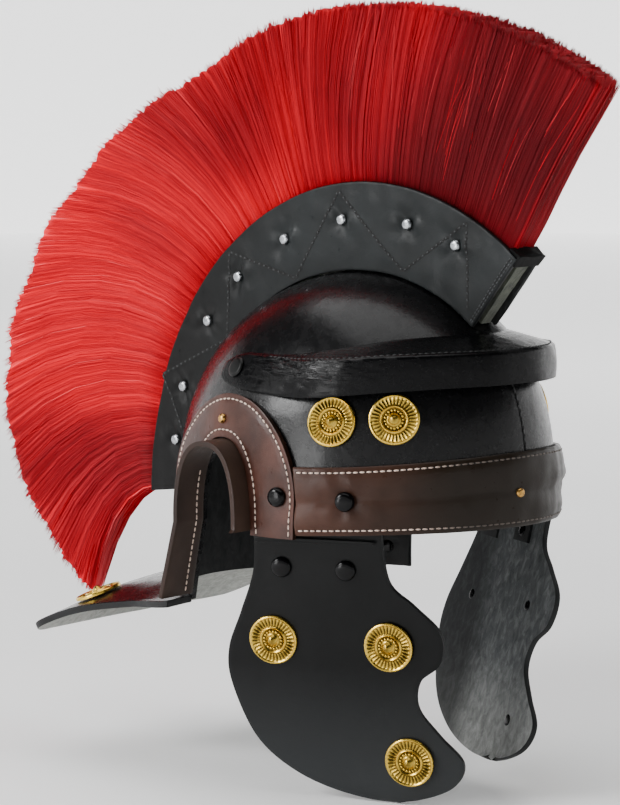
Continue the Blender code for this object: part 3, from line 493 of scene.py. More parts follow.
# The same hide on the brow band, darker towards the front in painted shade
BROWN_BAND_PAINTED_SHADE = leather(
    "shaded_brown_cowhide",
    ((0.25, "#29170f"), (0.55, "#3f271e"), (0.8, "#51352b")),
    (0.26, 0.42),
    0.16,
    shade=("Y", -0.040, -0.105, "#1d160f"),
)
# A darker, greyer brown hide for the flanges in the ear openings: almost no highlight
BROWN_DARK = leather("dark_brown_cowhide", ((0.3, "#271b15"), (0.7, "#3f3028")), (0.4, 0.55), 0.2)
# Cut edges of brown hide, rubbed smooth and dark
BROWN_EDGE = leather("burnished_brown_edge", ((0.3, "#1b100b"), (0.7, "#2f1d15")), (0.3, 0.45), 0.2)
# Black hide folded over the front of the crest holder: nearly matt
FOLDED_BLACK = leather("folded_black_cowhide", ((0.3, "#030303"), (0.7, "#0b0b0b")), (0.45, 0.65), 0.08)
# Cut edges of black hide, inked, and lightened to a dull charcoal line as a painted highlight
BLACK_EDGE_PAINTED_HIGHLIGHT = leather("inked_leather_edge", ((0.3, "#0e0f0f"), (0.7, "#1c1d1e")), (0.45, 0.6), 0.2)
# Inside of the cheek guards: grey and streaked, darker towards the rear edge in painted shade, and paler in
# streaks low down in painted light
GREY_FLESH_PAINTED_SHADING = flesh_side(
    "grey_flesh_side",
    ((0.25, "#313334"), (0.5, "#505354"), (0.75, "#787a7b")),
    depth=0.0003,
    painted_light_low="#d6d7d2",
    shade=("Y", -0.050, -0.026, "#141516"),
)
# Inside of the other black hides: an even, dull charcoal
DARK_FLESH = flesh_side("black_flesh_side", ((0.3, "#161717"), (0.7, "#2f3030")))
# Underside of the neck guard: undyed, a chalky grey
PALE_FLESH = flesh_side("pale_flesh_side", ((0.25, "#6f716c"), (0.75, "#a9aba5")))
# Stamped brass with a gilt lacquer: bright on the raised work, and brown in the recesses and on the boss
GILT = metal("stamped_gilt_brass", "#dcb950", "#caa23f", (0.2, 0.36), "#2b1605")
# Small rivets of bare brass: a browner, mellow yellow
BRASS = metal("polished_brass", "#b48a4c", "#8f6a34", (0.22, 0.35))
# Studs of nickel-plated steel: a neutral grey with small bright highlights
NICKEL = metal("nickel_plated_steel", "#9a9da0", "#6d7174", (0.22, 0.36))
# Press-stud caps of lacquered steel: a hard, wet-looking black
BLACK_CAP = plain(
    "black_lacquered_steel",
    relief=(grain(1.5), 0.00008, 0.3),
    Base_Color=linear("#050506"),
    Roughness=0.2,
    Specular_IOR_Level=0.1,
    Coat_Weight=0.14,
    Coat_Roughness=0.04,
)


def thread(name, dark, light, shade=None):
    """Waxed linen thread: matt with a faint shine, a little soiled, and darker towards the front where a
    shade is given.
    """
    stops = ((0.35, dark), (0.6, light))
    return plain(name, stops, grain(0.9), (grain(0.9), 0.0001, 0.5), shade, Roughness=0.55)


# Cream thread shows as dashes on the brown hide, and dark thread hardly shows on the black
CREAM_THREAD = thread("cream_linen_thread", "#a88e7f", "#dfc9ba", ("Y", -0.088, -0.108, "#2c2620"))
BLACK_THREAD = thread("black_linen_thread", "#0e0e0f", "#232425")
GREY_THREAD = thread("waxed_grey_thread", "#121415", "#3a3e40")
# The dark mouth of a hole punched in leather: a small dark plug of painted shade
HOLE_PAINTED_SHADE = plain("punched_hole", ((0.3, "#060606"), (0.7, "#121110")), grain(0.6), Roughness=0.9)
# Pressed wool felt: no shine, and fibres in every direction
FELT = plain(
    "grey_wool_felt",
    ((0.3, "#2e312a"), (0.7, "#5a5e50")),
    grain(6),
    (grain(0.9, 6.0, 0.75, 1.0), 0.0004, 0.8),
    Roughness=1.0,
    Sheen_Weight=0.2,
)
# Single hairs, and the mass under them with its hairs drawn on it, from one dye
HAIR = horsehair("red_horsehair_strands", streaked=False)
HAIR_MASS = horsehair("red_horsehair_mass", streaked=True)

BROWN_CUT = (BROWN, BROWN, BROWN_EDGE)
BLACK_CUT = (SATIN_BLACK_PAINTED_SHEEN, DARK_FLESH, BLACK_EDGE_PAINTED_HIGHLIGHT)

# Seams: pitch, stitch length, width and height, size of the holes, thread and slot
CREAM_SEAM = (0.0038, (0.0031, 0.0011, 0.0010), 0.42, CREAM_THREAD, "brown_leather")
BOWL_SEAM = (0.0050, (0.0042, 0.0013, 0.0012), 0.8, BLACK_THREAD, "glossy_black_leather")
BROW_SEAM = (0.0036, (0.0026, 0.0009, 0.0008), 0.42, BLACK_THREAD, "glossy_black_leather")
ZIGZAG_SEAM = (0.0038, (0.0016, 0.0011, 0.0009), 1.0, GREY_THREAD, "satin_black_leather")
EDGE_SEAM = (0.0026, (0.0020, 0.0009, 0.0009), 0.6, GREY_THREAD, "satin_black_leather")

# Rivets by the start of their nodes' names: radius, height, finish, how flat they are, and slot
RIVETS = {
    "rivet_strap": (0.0056, 0.0030, BLACK_CAP, 0.8, "glossy_black_leather"),
    "rivet_lug": (0.0060, 0.0012, SATIN_BLACK_PAINTED_SHEEN, 1.4, "glossy_black_leather"),
    "rivet_cheek": (0.0060, 0.0026, BLACK_CAP, 0.2, "glossy_black_leather"),
    "rivet_ear": (0.0028, 0.0019, BRASS, 0.2, "brass"),
    "rivet_brow": (0.0028, 0.0019, BRASS, 0.2, "brass"),
    "rivet_crest": (0.0033, 0.0015, NICKEL, 0.4, "nickel_plated_steel"),
}


# Modelling helpers


def select_only(part=None):
    bpy.ops.object.select_all(action="DESELECT")
    if part:
        part.select_set(True)
        bpy.context.view_layer.objects.active = part


def apply_modifier(part, kind, **settings):
    modifier = part.modifiers.new(kind, kind)
    for key, value in settings.items():
        setattr(modifier, key, value)
    select_only(part)
    bpy.ops.object.modifier_apply(modifier=modifier.name)


def round_edges(part, width):
    apply_modifier(part, "BEVEL", width=width, segments=2, limit_method="ANGLE", angle_limit=CORNER)


def smooth(part, degrees=42):
    select_only(part)
    bpy.ops.object.shade_smooth_by_angle(angle=math.radians(degrees))


def register(part, slot_name, *nodes):
    """Says what the piece stands for, by hiding its CAD nodes, and what it rides on. Its slot name is not
    used.
    """
    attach(part, "root")
    if nodes:
        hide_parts(*nodes)
    return part


def just_made(name, materials=()):
    """The object that an operator has just made, with its name and its finishes."""
    part = bpy.context.object
    part.name = part.data.name = name
    for material in materials:
        part.data.materials.append(material)
    return part


def whole(operator, **settings):
    """Runs an edit-mode operator on all of the active mesh."""
    bpy.ops.object.mode_set(mode="EDIT")
    bpy.ops.mesh.select_all(action="SELECT")
    operator(**settings)
    bpy.ops.object.mode_set(mode="OBJECT")


def face_outwards():
    whole(bpy.ops.mesh.normals_make_consistent, inside=False)


def add_object(name, data):
    part = bpy.data.objects.new(name, data)
    bpy.context.scene.collection.objects.link(part)
    return part


def mesh_part(name, points, faces, *materials):
    """An object from rows of points and lists of faces."""
    mesh = bpy.data.meshes.new(name)
    mesh.from_pydata(points.reshape(-1, 3).tolist(), [], faces)
    for material in materials:
        mesh.materials.append(material)
    return add_object(name, mesh)


def set_point_values(part, name, values):
    made = part.data.attributes.new(name, "FLOAT", "POINT")
    made.data.foreach_set("value", np.asarray(values, np.float32))


def flat_sheet(name, columns, rows, materials):
    """A flat sheet from 0 to 1 both ways."""
    select_only()
    middle = (0.5, 0.5, 0)
    bpy.ops.mesh.primitive_grid_add(
        x_subdivisions=columns, y_subdivisions=rows, size=1, location=middle
    )
    bpy.ops.object.transform_apply(location=True, rotation=False, scale=False)
    return just_made(name, materials)


def cut_leather(name, grid, shape, front, thickness, materials, edge=0.0006, even=True):
    """A sheet laid over its form with its face to the front, given its thickness and rounded edges."""
    part = flat_sheet(name, *grid, materials)
    for vertex in part.data.vertices:
        vertex.co = shape(vertex.co.x, vertex.co.y)
    part.data.update()
    if sum(face.normal.dot(front(face.center)) * face.area for face in part.data.polygons) < 0:
        part.data.flip_normals()
    sides = {"material_offset": 1, "material_offset_rim": 2}
    apply_modifier(part, "SOLIDIFY", thickness=thickness, offset=-1.0, use_even_offset=even, **sides)
    round_edges(part, edge)
    smooth(part)
    return part


def block(name, cuts, shape, material):
    """A cube cut into small faces, its corners from 0 to 1, moved to a shape."""
    select_only()
    bpy.ops.mesh.primitive_cube_add(size=1, location=(0.5, 0.5, 0.5))
    bpy.ops.object.transform_apply(location=True, rotation=False, scale=False)
    part = just_made(name, [material])
    whole(bpy.ops.mesh.subdivide, number_cuts=cuts)
    for vertex in part.data.vertices:
        vertex.co = shape(*vertex.co)
    face_outwards()
    return part


def turned(name, profile, steps, material):
    """A round piece about Z: a point drawn out along (radius, height) pairs and spun."""
    select_only()
    bpy.ops.mesh.primitive_plane_add(size=1)
    bpy.ops.object.mode_set(mode="EDIT")
    bpy.ops.mesh.merge(type="CENTER")
    bpy.ops.transform.translate(value=(profile[0][0], 0, profile[0][1]))
    for (radius, height), (next_radius, next_height) in zip(profile, profile[1:]):
        move = {"value": (next_radius - radius, 0, next_height - height)}
        bpy.ops.mesh.extrude_vertices_move(TRANSFORM_OT_translate=move)
    bpy.ops.object.mode_set(mode="OBJECT")
    whole(bpy.ops.mesh.spin, steps=steps, angle=math.tau, center=(0, 0, 0), axis=(0, 0, 1))
    whole(bpy.ops.mesh.remove_doubles, threshold=1e-6)
    face_outwards()
    return just_made(name, [material])


def seat_of(node):
    """The place of a round CAD piece: the middle of its back, and its axis turned outwards."""
    points = np.array([v.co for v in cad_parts[node].data.vertices])
    middle = (points.min(0) + points.max(0)) / 2
    axis = np.linalg.svd(points - points.mean(0))[2][2]
    outwards = (0, 0, 1) if "neck" in node else middle - np.array(HEAD_MIDDLE)
    if axis @ outwards < 0:
        axis = -axis
    along = points @ axis
    return Vector(points[along < along.min() + 2e-5].mean(0)), Vector(axis)


def seat_copy(model, name, seat, slot_name, *nodes):
    """A copy of a model with its own mesh, its Z along the axis of its seat."""
    centre, axis = seat
    mesh = model.data.copy()
    mesh.name = name
    mesh.transform(Matrix.Translation(centre) @ axis.to_track_quat("Z", "Y").to_matrix().to_4x4())
    return register(add_object(name, mesh), slot_name, *nodes)


# Curves


def mix(start, end, share):
    return start + (end - start) * share


def unit(value):
    return min(max(value, 0.0), 1.0)


def smoothstep(value):
    value = unit(value)
    return value * value * (3.0 - 2.0 * value)


def bell(distance, width):
    return math.exp(-((distance / width) ** 2))


def dent(size, distance):
    return size[0] * bell(distance, size[1])


def ripple(depth, *place):
    return depth * noise.noise(Vector(place))


def hermite(start, end, leave, arrive, share):
    change = end - start
    curve = (3 * change - 2 * leave - arrive) * share**2 + (leave + arrive - 2 * change) * share**3
    return start + leave * share + curve


def blend_rows(rows, at):
    """The row of a table at a value of its first column, on a smooth curve through its rows."""
    last = len(rows) - 2
    index = max(i for i in range(last + 1) if i == 0 or rows[i][0] <= at)
    before, start = rows[max(index - 1, 0)], rows[index]
    end, after = rows[index + 1], rows[min(index + 2, last + 1)]
    width = end[0] - start[0]
    leave, arrive = width / (end[0] - before[0]), width / (after[0] - start[0])
    return [
        hermite(p1, p2, (p2 - p0) * leave, (p3 - p1) * arrive, (at - start[0]) / width)
        for p0, p1, p2, p3 in zip(before[1:], start[1:], end[1:], after[1:])
    ]


def travelled(points):
    return np.concatenate([[0], np.cumsum(np.linalg.norm(np.diff(points, axis=0), axis=1))])


def columns_at(places, known, values):
    return np.stack([np.interp(places, known, column) for column in values.T], axis=1)


def on_sheet(shape, place, front):
    """A curve on a laid sheet and the way out of it. Place gives the sheet's two coordinates."""
    step = 1e-3

    def curve(t):
        u, v = place(t)
        point = shape(u, v)
        out = (shape(u + step, v) - shape(u - step, v)).cross(shape(u, v + step) - shape(u, v - step))
        return point, (-out if out.dot(front(point)) < 0 else out).normalized()

    return curve


# Stitching


def stitch_template():
    """One stitch, a unit long on X, that dives into the leather at both ends."""
    select_only()
    bpy.ops.mesh.primitive_uv_sphere_add(segments=6, ring_count=4, radius=0.5, rotation=(0, math.pi / 2, 0))
    bpy.ops.object.transform_apply(location=False, rotation=True, scale=False)
    part = bpy.context.object
    points = np.array([v.co for v in part.data.vertices])
    faces = [list(face.vertices) for face in part.data.polygons]
    bpy.data.objects.remove(part)
    return points, faces


STITCH = stitch_template()


def row_places(pitch, curve, start=0.0, end=1.0):
    """Middles of evenly spaced stitches along a curve, and the three axes of each."""
    points, outs = (np.array(column) for column in zip(*map(curve, np.linspace(start, end, 400))))
    travel = travelled(points)
    count = max(int(round(travel[-1] / pitch)), 1)
    middles = (np.arange(count) + 0.5) * travel[-1] / count
    reach = 0.3 * pitch
    along = columns_at(middles + reach, travel, points) - columns_at(middles - reach, travel, points)
    along /= np.linalg.norm(along, axis=1, keepdims=True)
    out = columns_at(middles, travel, outs)
    out -= along * (out * along).sum(1, keepdims=True)
    out /= np.linalg.norm(out, axis=1, keepdims=True)
    return columns_at(middles, travel, points), np.stack([along, np.cross(out, along), out], axis=1)


def stitching(name, seam, rows):
    """Many stitches as one piece: rows of places, each stitch with a needle hole at each end, a small dark
    plug of painted shade.
    """
    pitch, (length, width, height), hole, cord, slot_name = seam
    points = (STITCH[0] * (length, width, height) + (0.0, 0.0, 0.16 * height)).tolist()
    faces, kinds = list(STITCH[1]), [0] * len(STITCH[1])
    ring = range(HOLE_SIDES)
    for end in (-0.5, 0.5):
        low, high = ([len(points) + level * HOLE_SIDES + at for at in ring] for level in (0, 1))
        for level in HOLE_LEVELS:
            for angle in (math.tau * at / HOLE_SIDES for at in ring):
                along, across = hole * width * math.cos(angle), hole * width * math.sin(angle)
                points.append((end * length + along, across, level))
        faces += [[low[at - 1], low[at], high[at], high[at - 1]] for at in ring] + [high, low[::-1]]
        kinds += [1] * (HOLE_SIDES + 2)
    middles, axes = (np.concatenate(column) for column in zip(*(row_places(pitch, *row) for row in rows)))
    count = len(middles)
    every = [[index + len(points) * at for index in face] for at in range(count) for face in faces]
    part = mesh_part(name, middles[:, None] + np.array(points) @ axes, every, cord, HOLE_PAINTED_SHADE)
    part.data.polygons.foreach_set("material_index", kinds * count)
    smooth(part, 60)
    register(part, slot_name)


# Bowl


def bowl_rise(z):
    return max((z - BOWL_SHOULDER) / (BOWL_TOP - BOWL_SHOULDER), 0.0)


def bowl_level(z):
    """Half width, half length and middle of the bowl at a height."""
    rise = bowl_rise(z)
    scale = math.sqrt(max(1.0 - rise**BOWL_ROUNDNESS, 0.0))
    return BOWL_HALF_WIDTH * scale, BOWL_HALF_LENGTH * scale, BOWL_CENTRE_Y + CROWN_SHIFT * rise


def bowl_normal(point):
    """The direction out of the bowl, from the slope of its implicit surface."""
    rise = bowl_rise(point.z)
    y = point.y - BOWL_CENTRE_Y - CROWN_SHIFT * rise
    per_rise = 1.0 / (BOWL_TOP - BOWL_SHOULDER) if point.z > BOWL_SHOULDER else 0.0
    slope_y = 2 * y / BOWL_HALF_LENGTH**2
    slope_z = per_rise * (BOWL_ROUNDNESS * rise ** (BOWL_ROUNDNESS - 1) - slope_y * CROWN_SHIFT)
    return Vector((2 * point.x / BOWL_HALF_WIDTH**2, slope_y, slope_z)).normalized()


def bowl_value(point):
    rise = bowl_rise(point.z)
    y = point.y - BOWL_CENTRE_Y - CROWN_SHIFT * rise
    return (point.x / BOWL_HALF_WIDTH) ** 2 + (y / BOWL_HALF_LENGTH) ** 2 + rise**BOWL_ROUNDNESS - 1.0


def level_point(turn, z, out=0.0, side=RIGHT):
    """A place out from the bowl on the level."""
    half_width, half_length, middle = bowl_level(z)
    x = side * (half_width + out) * math.sin(turn)
    return Vector((x, middle - (half_length + out) * math.cos(turn), z))


def on_bowl(turn, z, off=0.0, side=RIGHT):
    """A place off the bowl, square to its surface."""
    point = level_point(turn, z, 0.0, side)
    return point + bowl_normal(point) * off


def by_wall(turn, z, off=0.0, side=RIGHT):
    """A place off the bowl, or straight below its rim."""
    point = on_bowl(turn, max(z, 0.0), off, side)
    point.z = z
    return point


def rim_height(turn):
    return RIM_SIDE + RIM_RISE * math.cos(turn)


def from_head(point):
    return point - HEAD_MIDDLE


def ear_point(s, offset=0.0):
    """Ear opening in side view, from 0 to 3: front leg, arch, rear leg; offset widens it."""
    if offset:
        step = 1e-3
        along = (ear_point(min(s + step, 3.0)) - ear_point(max(s - step, 0.0))).normalized()
        return ear_point(s) + Vector((-along.y, along.x)) * offset
    if s <= 1.0:
        return Vector((EAR_CENTRE_Y - EAR_HALF_WIDTH, RIM_SIDE * (1.0 - s)))
    if s >= 2.0:
        z = FLANGE_BOTTOM * (s - 2.0)
        return Vector((EAR_CENTRE_Y + EAR_HALF_WIDTH - EAR_REAR_SLANT * z, z))
    angle = math.pi * (s - 1.0)
    across = math.cos(angle)
    y = EAR_CENTRE_Y - EAR_HALF_WIDTH * math.copysign(abs(across) ** (2 / EAR_ROUNDNESS), across)
    return Vector((y, EAR_TOP * max(math.sin(angle), 0.0) ** (2 / EAR_ROUNDNESS)))


def rim_cutter():
    """A block across both sides, below the rim and through both ear openings."""
    front_y = BOWL_CENTRE_Y - 2 * BOWL_HALF_LENGTH
    ear = [ear_point(s) for s in np.linspace(0.0, 3.0, 61)]
    foot = ear[-1] + Vector((-EAR_REAR_SLANT, 1.0)) * (3 * NECK_BOTTOM - ear[-1].y)
    rim = [(y, RIM_SIDE + RIM_RISE / BOWL_HALF_LENGTH * (BOWL_CENTRE_Y - y)) for y in (front_y, ear[0].x)]
    outline = [(front_y, foot.y), *rim, *ear[1:], foot]
    select_only()
    bpy.ops.mesh.primitive_circle_add(vertices=len(outline), fill_type="NGON")
    cutter = bpy.context.object
    for vertex, (y, z) in zip(cutter.data.vertices, outline):
        vertex.co = (-2 * BOWL_HALF_WIDTH, y, z)
    whole(bpy.ops.mesh.extrude_region_move, TRANSFORM_OT_translate={"value": (4 * BOWL_HALF_WIDTH, 0, 0)})
    face_outwards()
    return cutter


def bowl():
    """The shell, drawn up level by level from the neck and closed at the crown."""
    heights = [NECK_BOTTOM, NECK_BOTTOM / 2, 0.0]
    for step in range(BOWL_LEVELS + 1):
        heights.append(mix(BOWL_SHOULDER, BOWL_TOP, math.sin(math.pi / 2 * step / (BOWL_LEVELS + 1))))
    place = (0, BOWL_CENTRE_Y, heights[0])
    select_only()
    bpy.ops.mesh.primitive_circle_add(vertices=BOWL_COLUMNS, radius=1.0, location=place)
    shell = just_made("bowl_shell", (GLOSS_BLACK, DARK_FLESH, BLACK_EDGE_PAINTED_HIGHLIGHT))
    shell.scale = (BOWL_HALF_WIDTH, BOWL_HALF_LENGTH, 1.0)
    bpy.ops.object.transform_apply(location=True, rotation=False, scale=True)
    bpy.ops.object.mode_set(mode="EDIT")
    bpy.ops.mesh.select_all(action="SELECT")
    for low, high in zip(heights, heights[1:] + [BOWL_TOP]):
        (width, _, middle), (next_width, _, next_middle) = bowl_level(low), bowl_level(high)
        move = {"value": (0, next_middle - middle, high - low)}
        bpy.ops.mesh.extrude_region_move(TRANSFORM_OT_translate=move)
        if next_width:
            ratio = next_width / width
            bpy.ops.transform.resize(value=(ratio, ratio, 1.0), center_override=(0, next_middle, high))
    bpy.ops.mesh.merge(type="CENTER")
    bpy.ops.object.mode_set(mode="OBJECT")
    face_outwards()
    sides = {"material_offset": 1, "material_offset_rim": 2}
    apply_modifier(shell, "SOLIDIFY", thickness=BOWL_WALL, offset=-1.0, use_even_offset=True, **sides)
    cutter = rim_cutter()
    apply_modifier(shell, "BOOLEAN", operation="DIFFERENCE", object=cutter, solver="EXACT")
    bpy.data.objects.remove(cutter)
    smooth(shell, 35)
    register(shell, "glossy_black_leather", "bowl")

    def seam(t):
        point = on_bowl(SEAM_TURN, mix(*SEAM_HEIGHTS, t))
        return point, bowl_normal(point)

    stitching("bowl_seam_stitches", BOWL_SEAM, [(seam,)])


# Ear panels and flanges


def panel_outline(s):
    if s <= 1.0:
        return PANEL_TURN - PANEL_HALF_TURN, mix(RIM_SIDE, PANEL_SPRING, s)
    if s >= 2.0:
        return PANEL_TURN + PANEL_HALF_TURN, mix(PANEL_SPRING, PANEL_REAR_BOTTOM, s - 2.0)
    angle = math.pi * (s - 1.0)
    return PANEL_TURN - PANEL_HALF_TURN * math.cos(angle), mix(PANEL_SPRING, PANEL_TOP, math.sin(angle))


def panel_front_turn(z):
    rise = unit((z - PANEL_SPRING) / (PANEL_TOP - PANEL_SPRING))
    return PANEL_TURN - PANEL_HALF_TURN * math.sqrt(1.0 - rise**2)


def panel_place(s, part):
    """Turn and height on the ear panel, from its inner edge at 0 to its outer edge at 1."""
    inner = ear_point(s, FLANGE_THICKNESS + GAP)
    _, half_length, middle = bowl_level(inner.y)
    inner_turn = math.acos(min(max((middle - inner.x) / half_length, -1.0), 1.0))
    inner_z = max(inner.y, PANEL_REAR_BOTTOM) if s else RIM_SIDE
    outer_turn, outer_z = panel_outline(s)
    drop = PANEL_FOOT_DROP * smoothstep(1 - s / 0.4)
    return mix(inner_turn, outer_turn, part), mix(inner_z, outer_z, part) - drop


def panel_width(s):
    return (on_bowl(*panel_place(s, 1.0)) - on_bowl(*panel_place(s, 0.0))).length


def ear_panel(side):
    name = SIDES[side]
    stud_turn = STRAP_TURNS[side]["rear"]
    stud = on_bowl(stud_turn, STUD_HEIGHT, 0.0, side)
    brass = on_bowl(*PANEL_BRASS, 0.0, side)

    def shape(u, v):
        s = 3.0 * u
        turn, z = panel_place(s, v)
        point = on_bowl(turn, z, 0.0, side)
        width = panel_width(s)
        off = GAP + PANEL_THICKNESS
        for distance, seam in zip(((1.0 - v) * width, v * width), PANEL_STITCH):
            off -= dent(PANEL_GROOVE, distance - seam)
        off -= dent(PANEL_BRASS_DENT, (point - brass).length)
        if stud_turn > panel_front_turn(STUD_HEIGHT):
            off -= dent(PANEL_STUD_DENT, (point - stud).length)
        off += ripple(0.0005, *(point * 45.0))
        return point + bowl_normal(point) * off

    part = cut_leather(f"ear_panel_leather_{name}", (150, 22), shape, from_head, PANEL_THICKNESS, BROWN_CUT)
    register(part, "brown_leather", f"ear_panel_{name}")
    outer = on_sheet(shape, lambda t: (t, 1.0 - PANEL_STITCH[0] / panel_width(3 * t)), from_head)
    inner = on_sheet(shape, lambda t: (t, PANEL_STITCH[1] / panel_width(3 * t)), from_head)
    stitching(f"ear_panel_stitches_{name}", CREAM_SEAM, [(outer, 0.02, 0.985), (inner, 0.03, 0.72)])


def ear_flange(side):
    name = SIDES[side]

    def shape(u, v):
        y, z = ear_point(3.0 * u)
        half_width, half_length, middle = bowl_level(z)
        root = half_width * math.sqrt(max(1.0 - ((y - middle) / half_length) ** 2, 0.0)) + GAP
        return Vector((side * mix(root, mix(*FLANGE_REACH, u), v), y, z))

    def inward(point):
        return Vector((0, EAR_CENTRE_Y - point.y, -point.z))

    finishes = (BROWN_DARK, BROWN_DARK, BROWN_EDGE)
    sheet = (f"ear_flange_leather_{name}", (150, 10), shape, inward, FLANGE_THICKNESS, finishes)
    register(cut_leather(*sheet, edge=FLANGE_EDGE), "brown_leather", f"ear_flange_{name}")
    rear = on_sheet(shape, lambda t: (0.60 + 0.385 * t, 0.26), inward)
    stitching(f"ear_flange_stitches_{name}", CREAM_SEAM, [(rear,)])


# Brow band and brow guard

BAND_STUDS = [
    on_bowl(turn, STUD_HEIGHT, 0.0, side)
    for side, turns in STRAP_TURNS.items()
    for turn in turns.values()
    if turn < panel_front_turn(STUD_HEIGHT)
]


def band_place(u, v):
    """Turn, height and width on the brow band: u from its right end to its left, v from rim to top."""
    across = 2 * u - 1
    turn = across * (PANEL_TURN - PANEL_HALF_TURN)
    low = rim_height(turn) - BAND_DROP[0] - BAND_DROP[1] * math.cos(turn) ** 2
    high = BAND_TOP_SIDE + BAND_TOP_RISE * math.cos(turn) ** 2
    z = mix(low, high, v)
    return across * (panel_front_turn(z) - BAND_SEAM), z, high - low


def band_shape(u, v):
    """The band's outer surface: two swells with a crease between, dents at the studs, and folds."""
    turn, z, width = band_place(u, v)
    point = by_wall(turn, z)
    crease = 0.5 + 0.03 * math.sin(9 * u + 1.0) + 0.02 * math.sin(23 * u)
    part = v / crease * 0.5 if v < crease else 0.5 + (v - crease) / (1 - crease) * 0.5
    crown = abs(math.sin(math.tau * part)) ** 0.65
    if 0.25 < part < 0.75:
        crown = 1.0 - (0.75 + ripple(0.25, u * 14, 0, 3)) * (1.0 - crown)
    off = GAP + BAND_THICKNESS + BAND_CROWN * crown + dent(BAND_SWELL, turn)
    off -= dent(BAND_GROOVE, min(v, 1 - v) * width - BAND_STITCH)
    for gap in (point - stud for stud in BAND_STUDS):
        if gap.length < 0.03:
            off -= dent(BAND_DENT, gap.length)
            off -= math.sin(5 * math.atan2(gap.z, gap.y) + 1.3) * dent(BAND_PUCKER, gap.length - 0.010)
    off += ripple(0.0005, u * 30, v * 3, 0)
    off += BAND_WAVE * bell(turn + 0.6, 0.4) * (bell(v - 0.60, 0.10) - 0.9 * bell(v - 0.33, 0.10))
    return point + bowl_normal(point) * off


def brow_band():
    finishes = (BROWN_BAND_PAINTED_SHADE, BROWN, BROWN_EDGE)
    part = cut_leather("brow_band_leather", (200, 22), band_shape, from_head, BAND_THICKNESS, finishes)
    register(part, "brown_leather", "brow_band")

    def low_edge(t):
        u = 0.006 + 0.988 * t
        return u, BAND_STITCH / band_place(u, 0.5)[2]

    def top_edge(t):
        u, v = low_edge(t)
        return u, 1 - v

    rows = [(on_sheet(band_shape, place, from_head),) for place in (low_edge, top_edge)]
    stitching("brow_band_stitches", CREAM_SEAM, rows)


def brow_shape(u, v):
    """The brow guard's outer surface: up the face, over a rounded corner and back along the shelf."""
    across = 2 * u - 1
    last_turn = BROW_STATIONS[-1][0]
    degrees = abs(across) * last_turn
    low, high, out_low, out_high, rise = blend_rows(BROW_STATIONS, degrees)
    foot = Vector((low, out_low))
    corner = Vector((high, out_high))
    back = Vector((high + rise, GAP * 1.5))
    if v < BROW_CORNER - BROW_ROUND:
        place = foot.lerp(corner, v / BROW_CORNER)
    elif v > BROW_CORNER + BROW_ROUND:
        place = corner.lerp(back, (v - BROW_CORNER) / (1 - BROW_CORNER))
    else:
        first = foot.lerp(corner, 1 - BROW_ROUND / BROW_CORNER)
        last = corner.lerp(back, BROW_ROUND / (1 - BROW_CORNER))
        t = (v - BROW_CORNER + BROW_ROUND) / (2 * BROW_ROUND)
        place = first.lerp(corner, t).lerp(corner.lerp(last, t), t)
    gathered = bell(degrees - 80, 22) * bell(v - 0.55, 0.38)
    folds = ripple(1.0, across * 26, v * 17, 0) + ripple(0.6, across * 60, v * 34, 5)
    out = place.y + BROW_FOLD * folds * gathered + ripple(0.0006, across * 9, v * 2, 9)
    return level_point(math.radians(across * last_turn), place.x, max(out, GAP))


def brow_guard():
    finishes = (CRINKLED, DARK_FLESH, BLACK_EDGE_PAINTED_HIGHLIGHT)
    sheet = ("brow_guard_leather", (240, 26), brow_shape, from_head, BROW_THICKNESS, finishes)
    part = register(cut_leather(*sheet, edge=0.0007, even=False), "glossy_black_leather", "brow_guard")
    values = []
    for x, y, z in (vertex.co for vertex in part.data.vertices):
        turn = math.degrees(math.atan2(abs(x), BOWL_CENTRE_Y - y))
        values.append(0.02 + bell(turn - 76, 17) * smoothstep((z - 0.082) / 0.007))
    set_point_values(part, "crinkle", values)
    edge = on_sheet(brow_shape, lambda t: (0.09 + 0.82 * t, BROW_CORNER + 0.035), from_head)
    stitching("brow_guard_stitches", BROW_SEAM, [(edge,)])


# Neck guard


def guard_edge(part):
    """A place on the guard's outline, along its right side, round a corner and over to the left."""
    side_length = GUARD_REAR_Y - GUARD_CORNER - GUARD_ROOT_Y
    corner_length = GUARD_CORNER * math.pi / 2
    half = side_length + corner_length + GUARD_HALF_WIDTH - GUARD_CORNER
    travel = part * 2 * half
    mirror = 1.0
    if travel > half:
        travel = 2 * half - travel
        mirror = -1.0
    if travel <= side_length:
        lug = smoothstep(1.0 - travel / GUARD_LUG_LENGTH)
        return -mirror * mix(GUARD_HALF_WIDTH, GUARD_LUG_REACH, lug), GUARD_ROOT_Y + travel
    travel -= side_length
    if travel <= corner_length:
        angle = travel / GUARD_CORNER
        x = -GUARD_HALF_WIDTH + GUARD_CORNER * (1.0 - math.cos(angle))
        return mirror * x, GUARD_REAR_Y - GUARD_CORNER * (1.0 - math.sin(angle))
    return mirror * (-GUARD_HALF_WIDTH + GUARD_CORNER + travel - corner_length), GUARD_REAR_Y


def guard_shape(u, v):
    root = level_point(mix(GUARD_TURN, math.tau - GUARD_TURN, u), NECK_BOTTOM, GAP)
    edge_x, edge_y = guard_edge(u)
    x, y = mix(root.x, edge_x, v), mix(root.y, edge_y, v)
    back = unit((y - GUARD_ROOT_Y) / (GUARD_REAR_Y - GUARD_ROOT_Y))
    across = min(abs(x) / GUARD_HALF_WIDTH, 1.0)
    z = GUARD_ROOT_HEIGHT - GUARD_SLOPE_DROP * back - GUARD_LIP_DROP * back**4
    z += GUARD_CROWN * smoothstep(3 * back) * (1.0 - across**2.2) * (1.0 - back**5)
    return Vector((x, y, z + ripple(0.0008, x * 22, y * 22, 0) * smoothstep(4 * v)))


def neck_guard():
    def up(point):
        return Vector((0, 0, 1))

    finishes = (GLOSS_BLACK, PALE_FLESH, BLACK_EDGE_PAINTED_HIGHLIGHT)
    part = cut_leather("neck_guard_leather", (120, 28), guard_shape, up, GUARD_THICKNESS, finishes, 0.0008)
    register(part, "glossy_black_leather", "neck_guard")


# Cheek guards


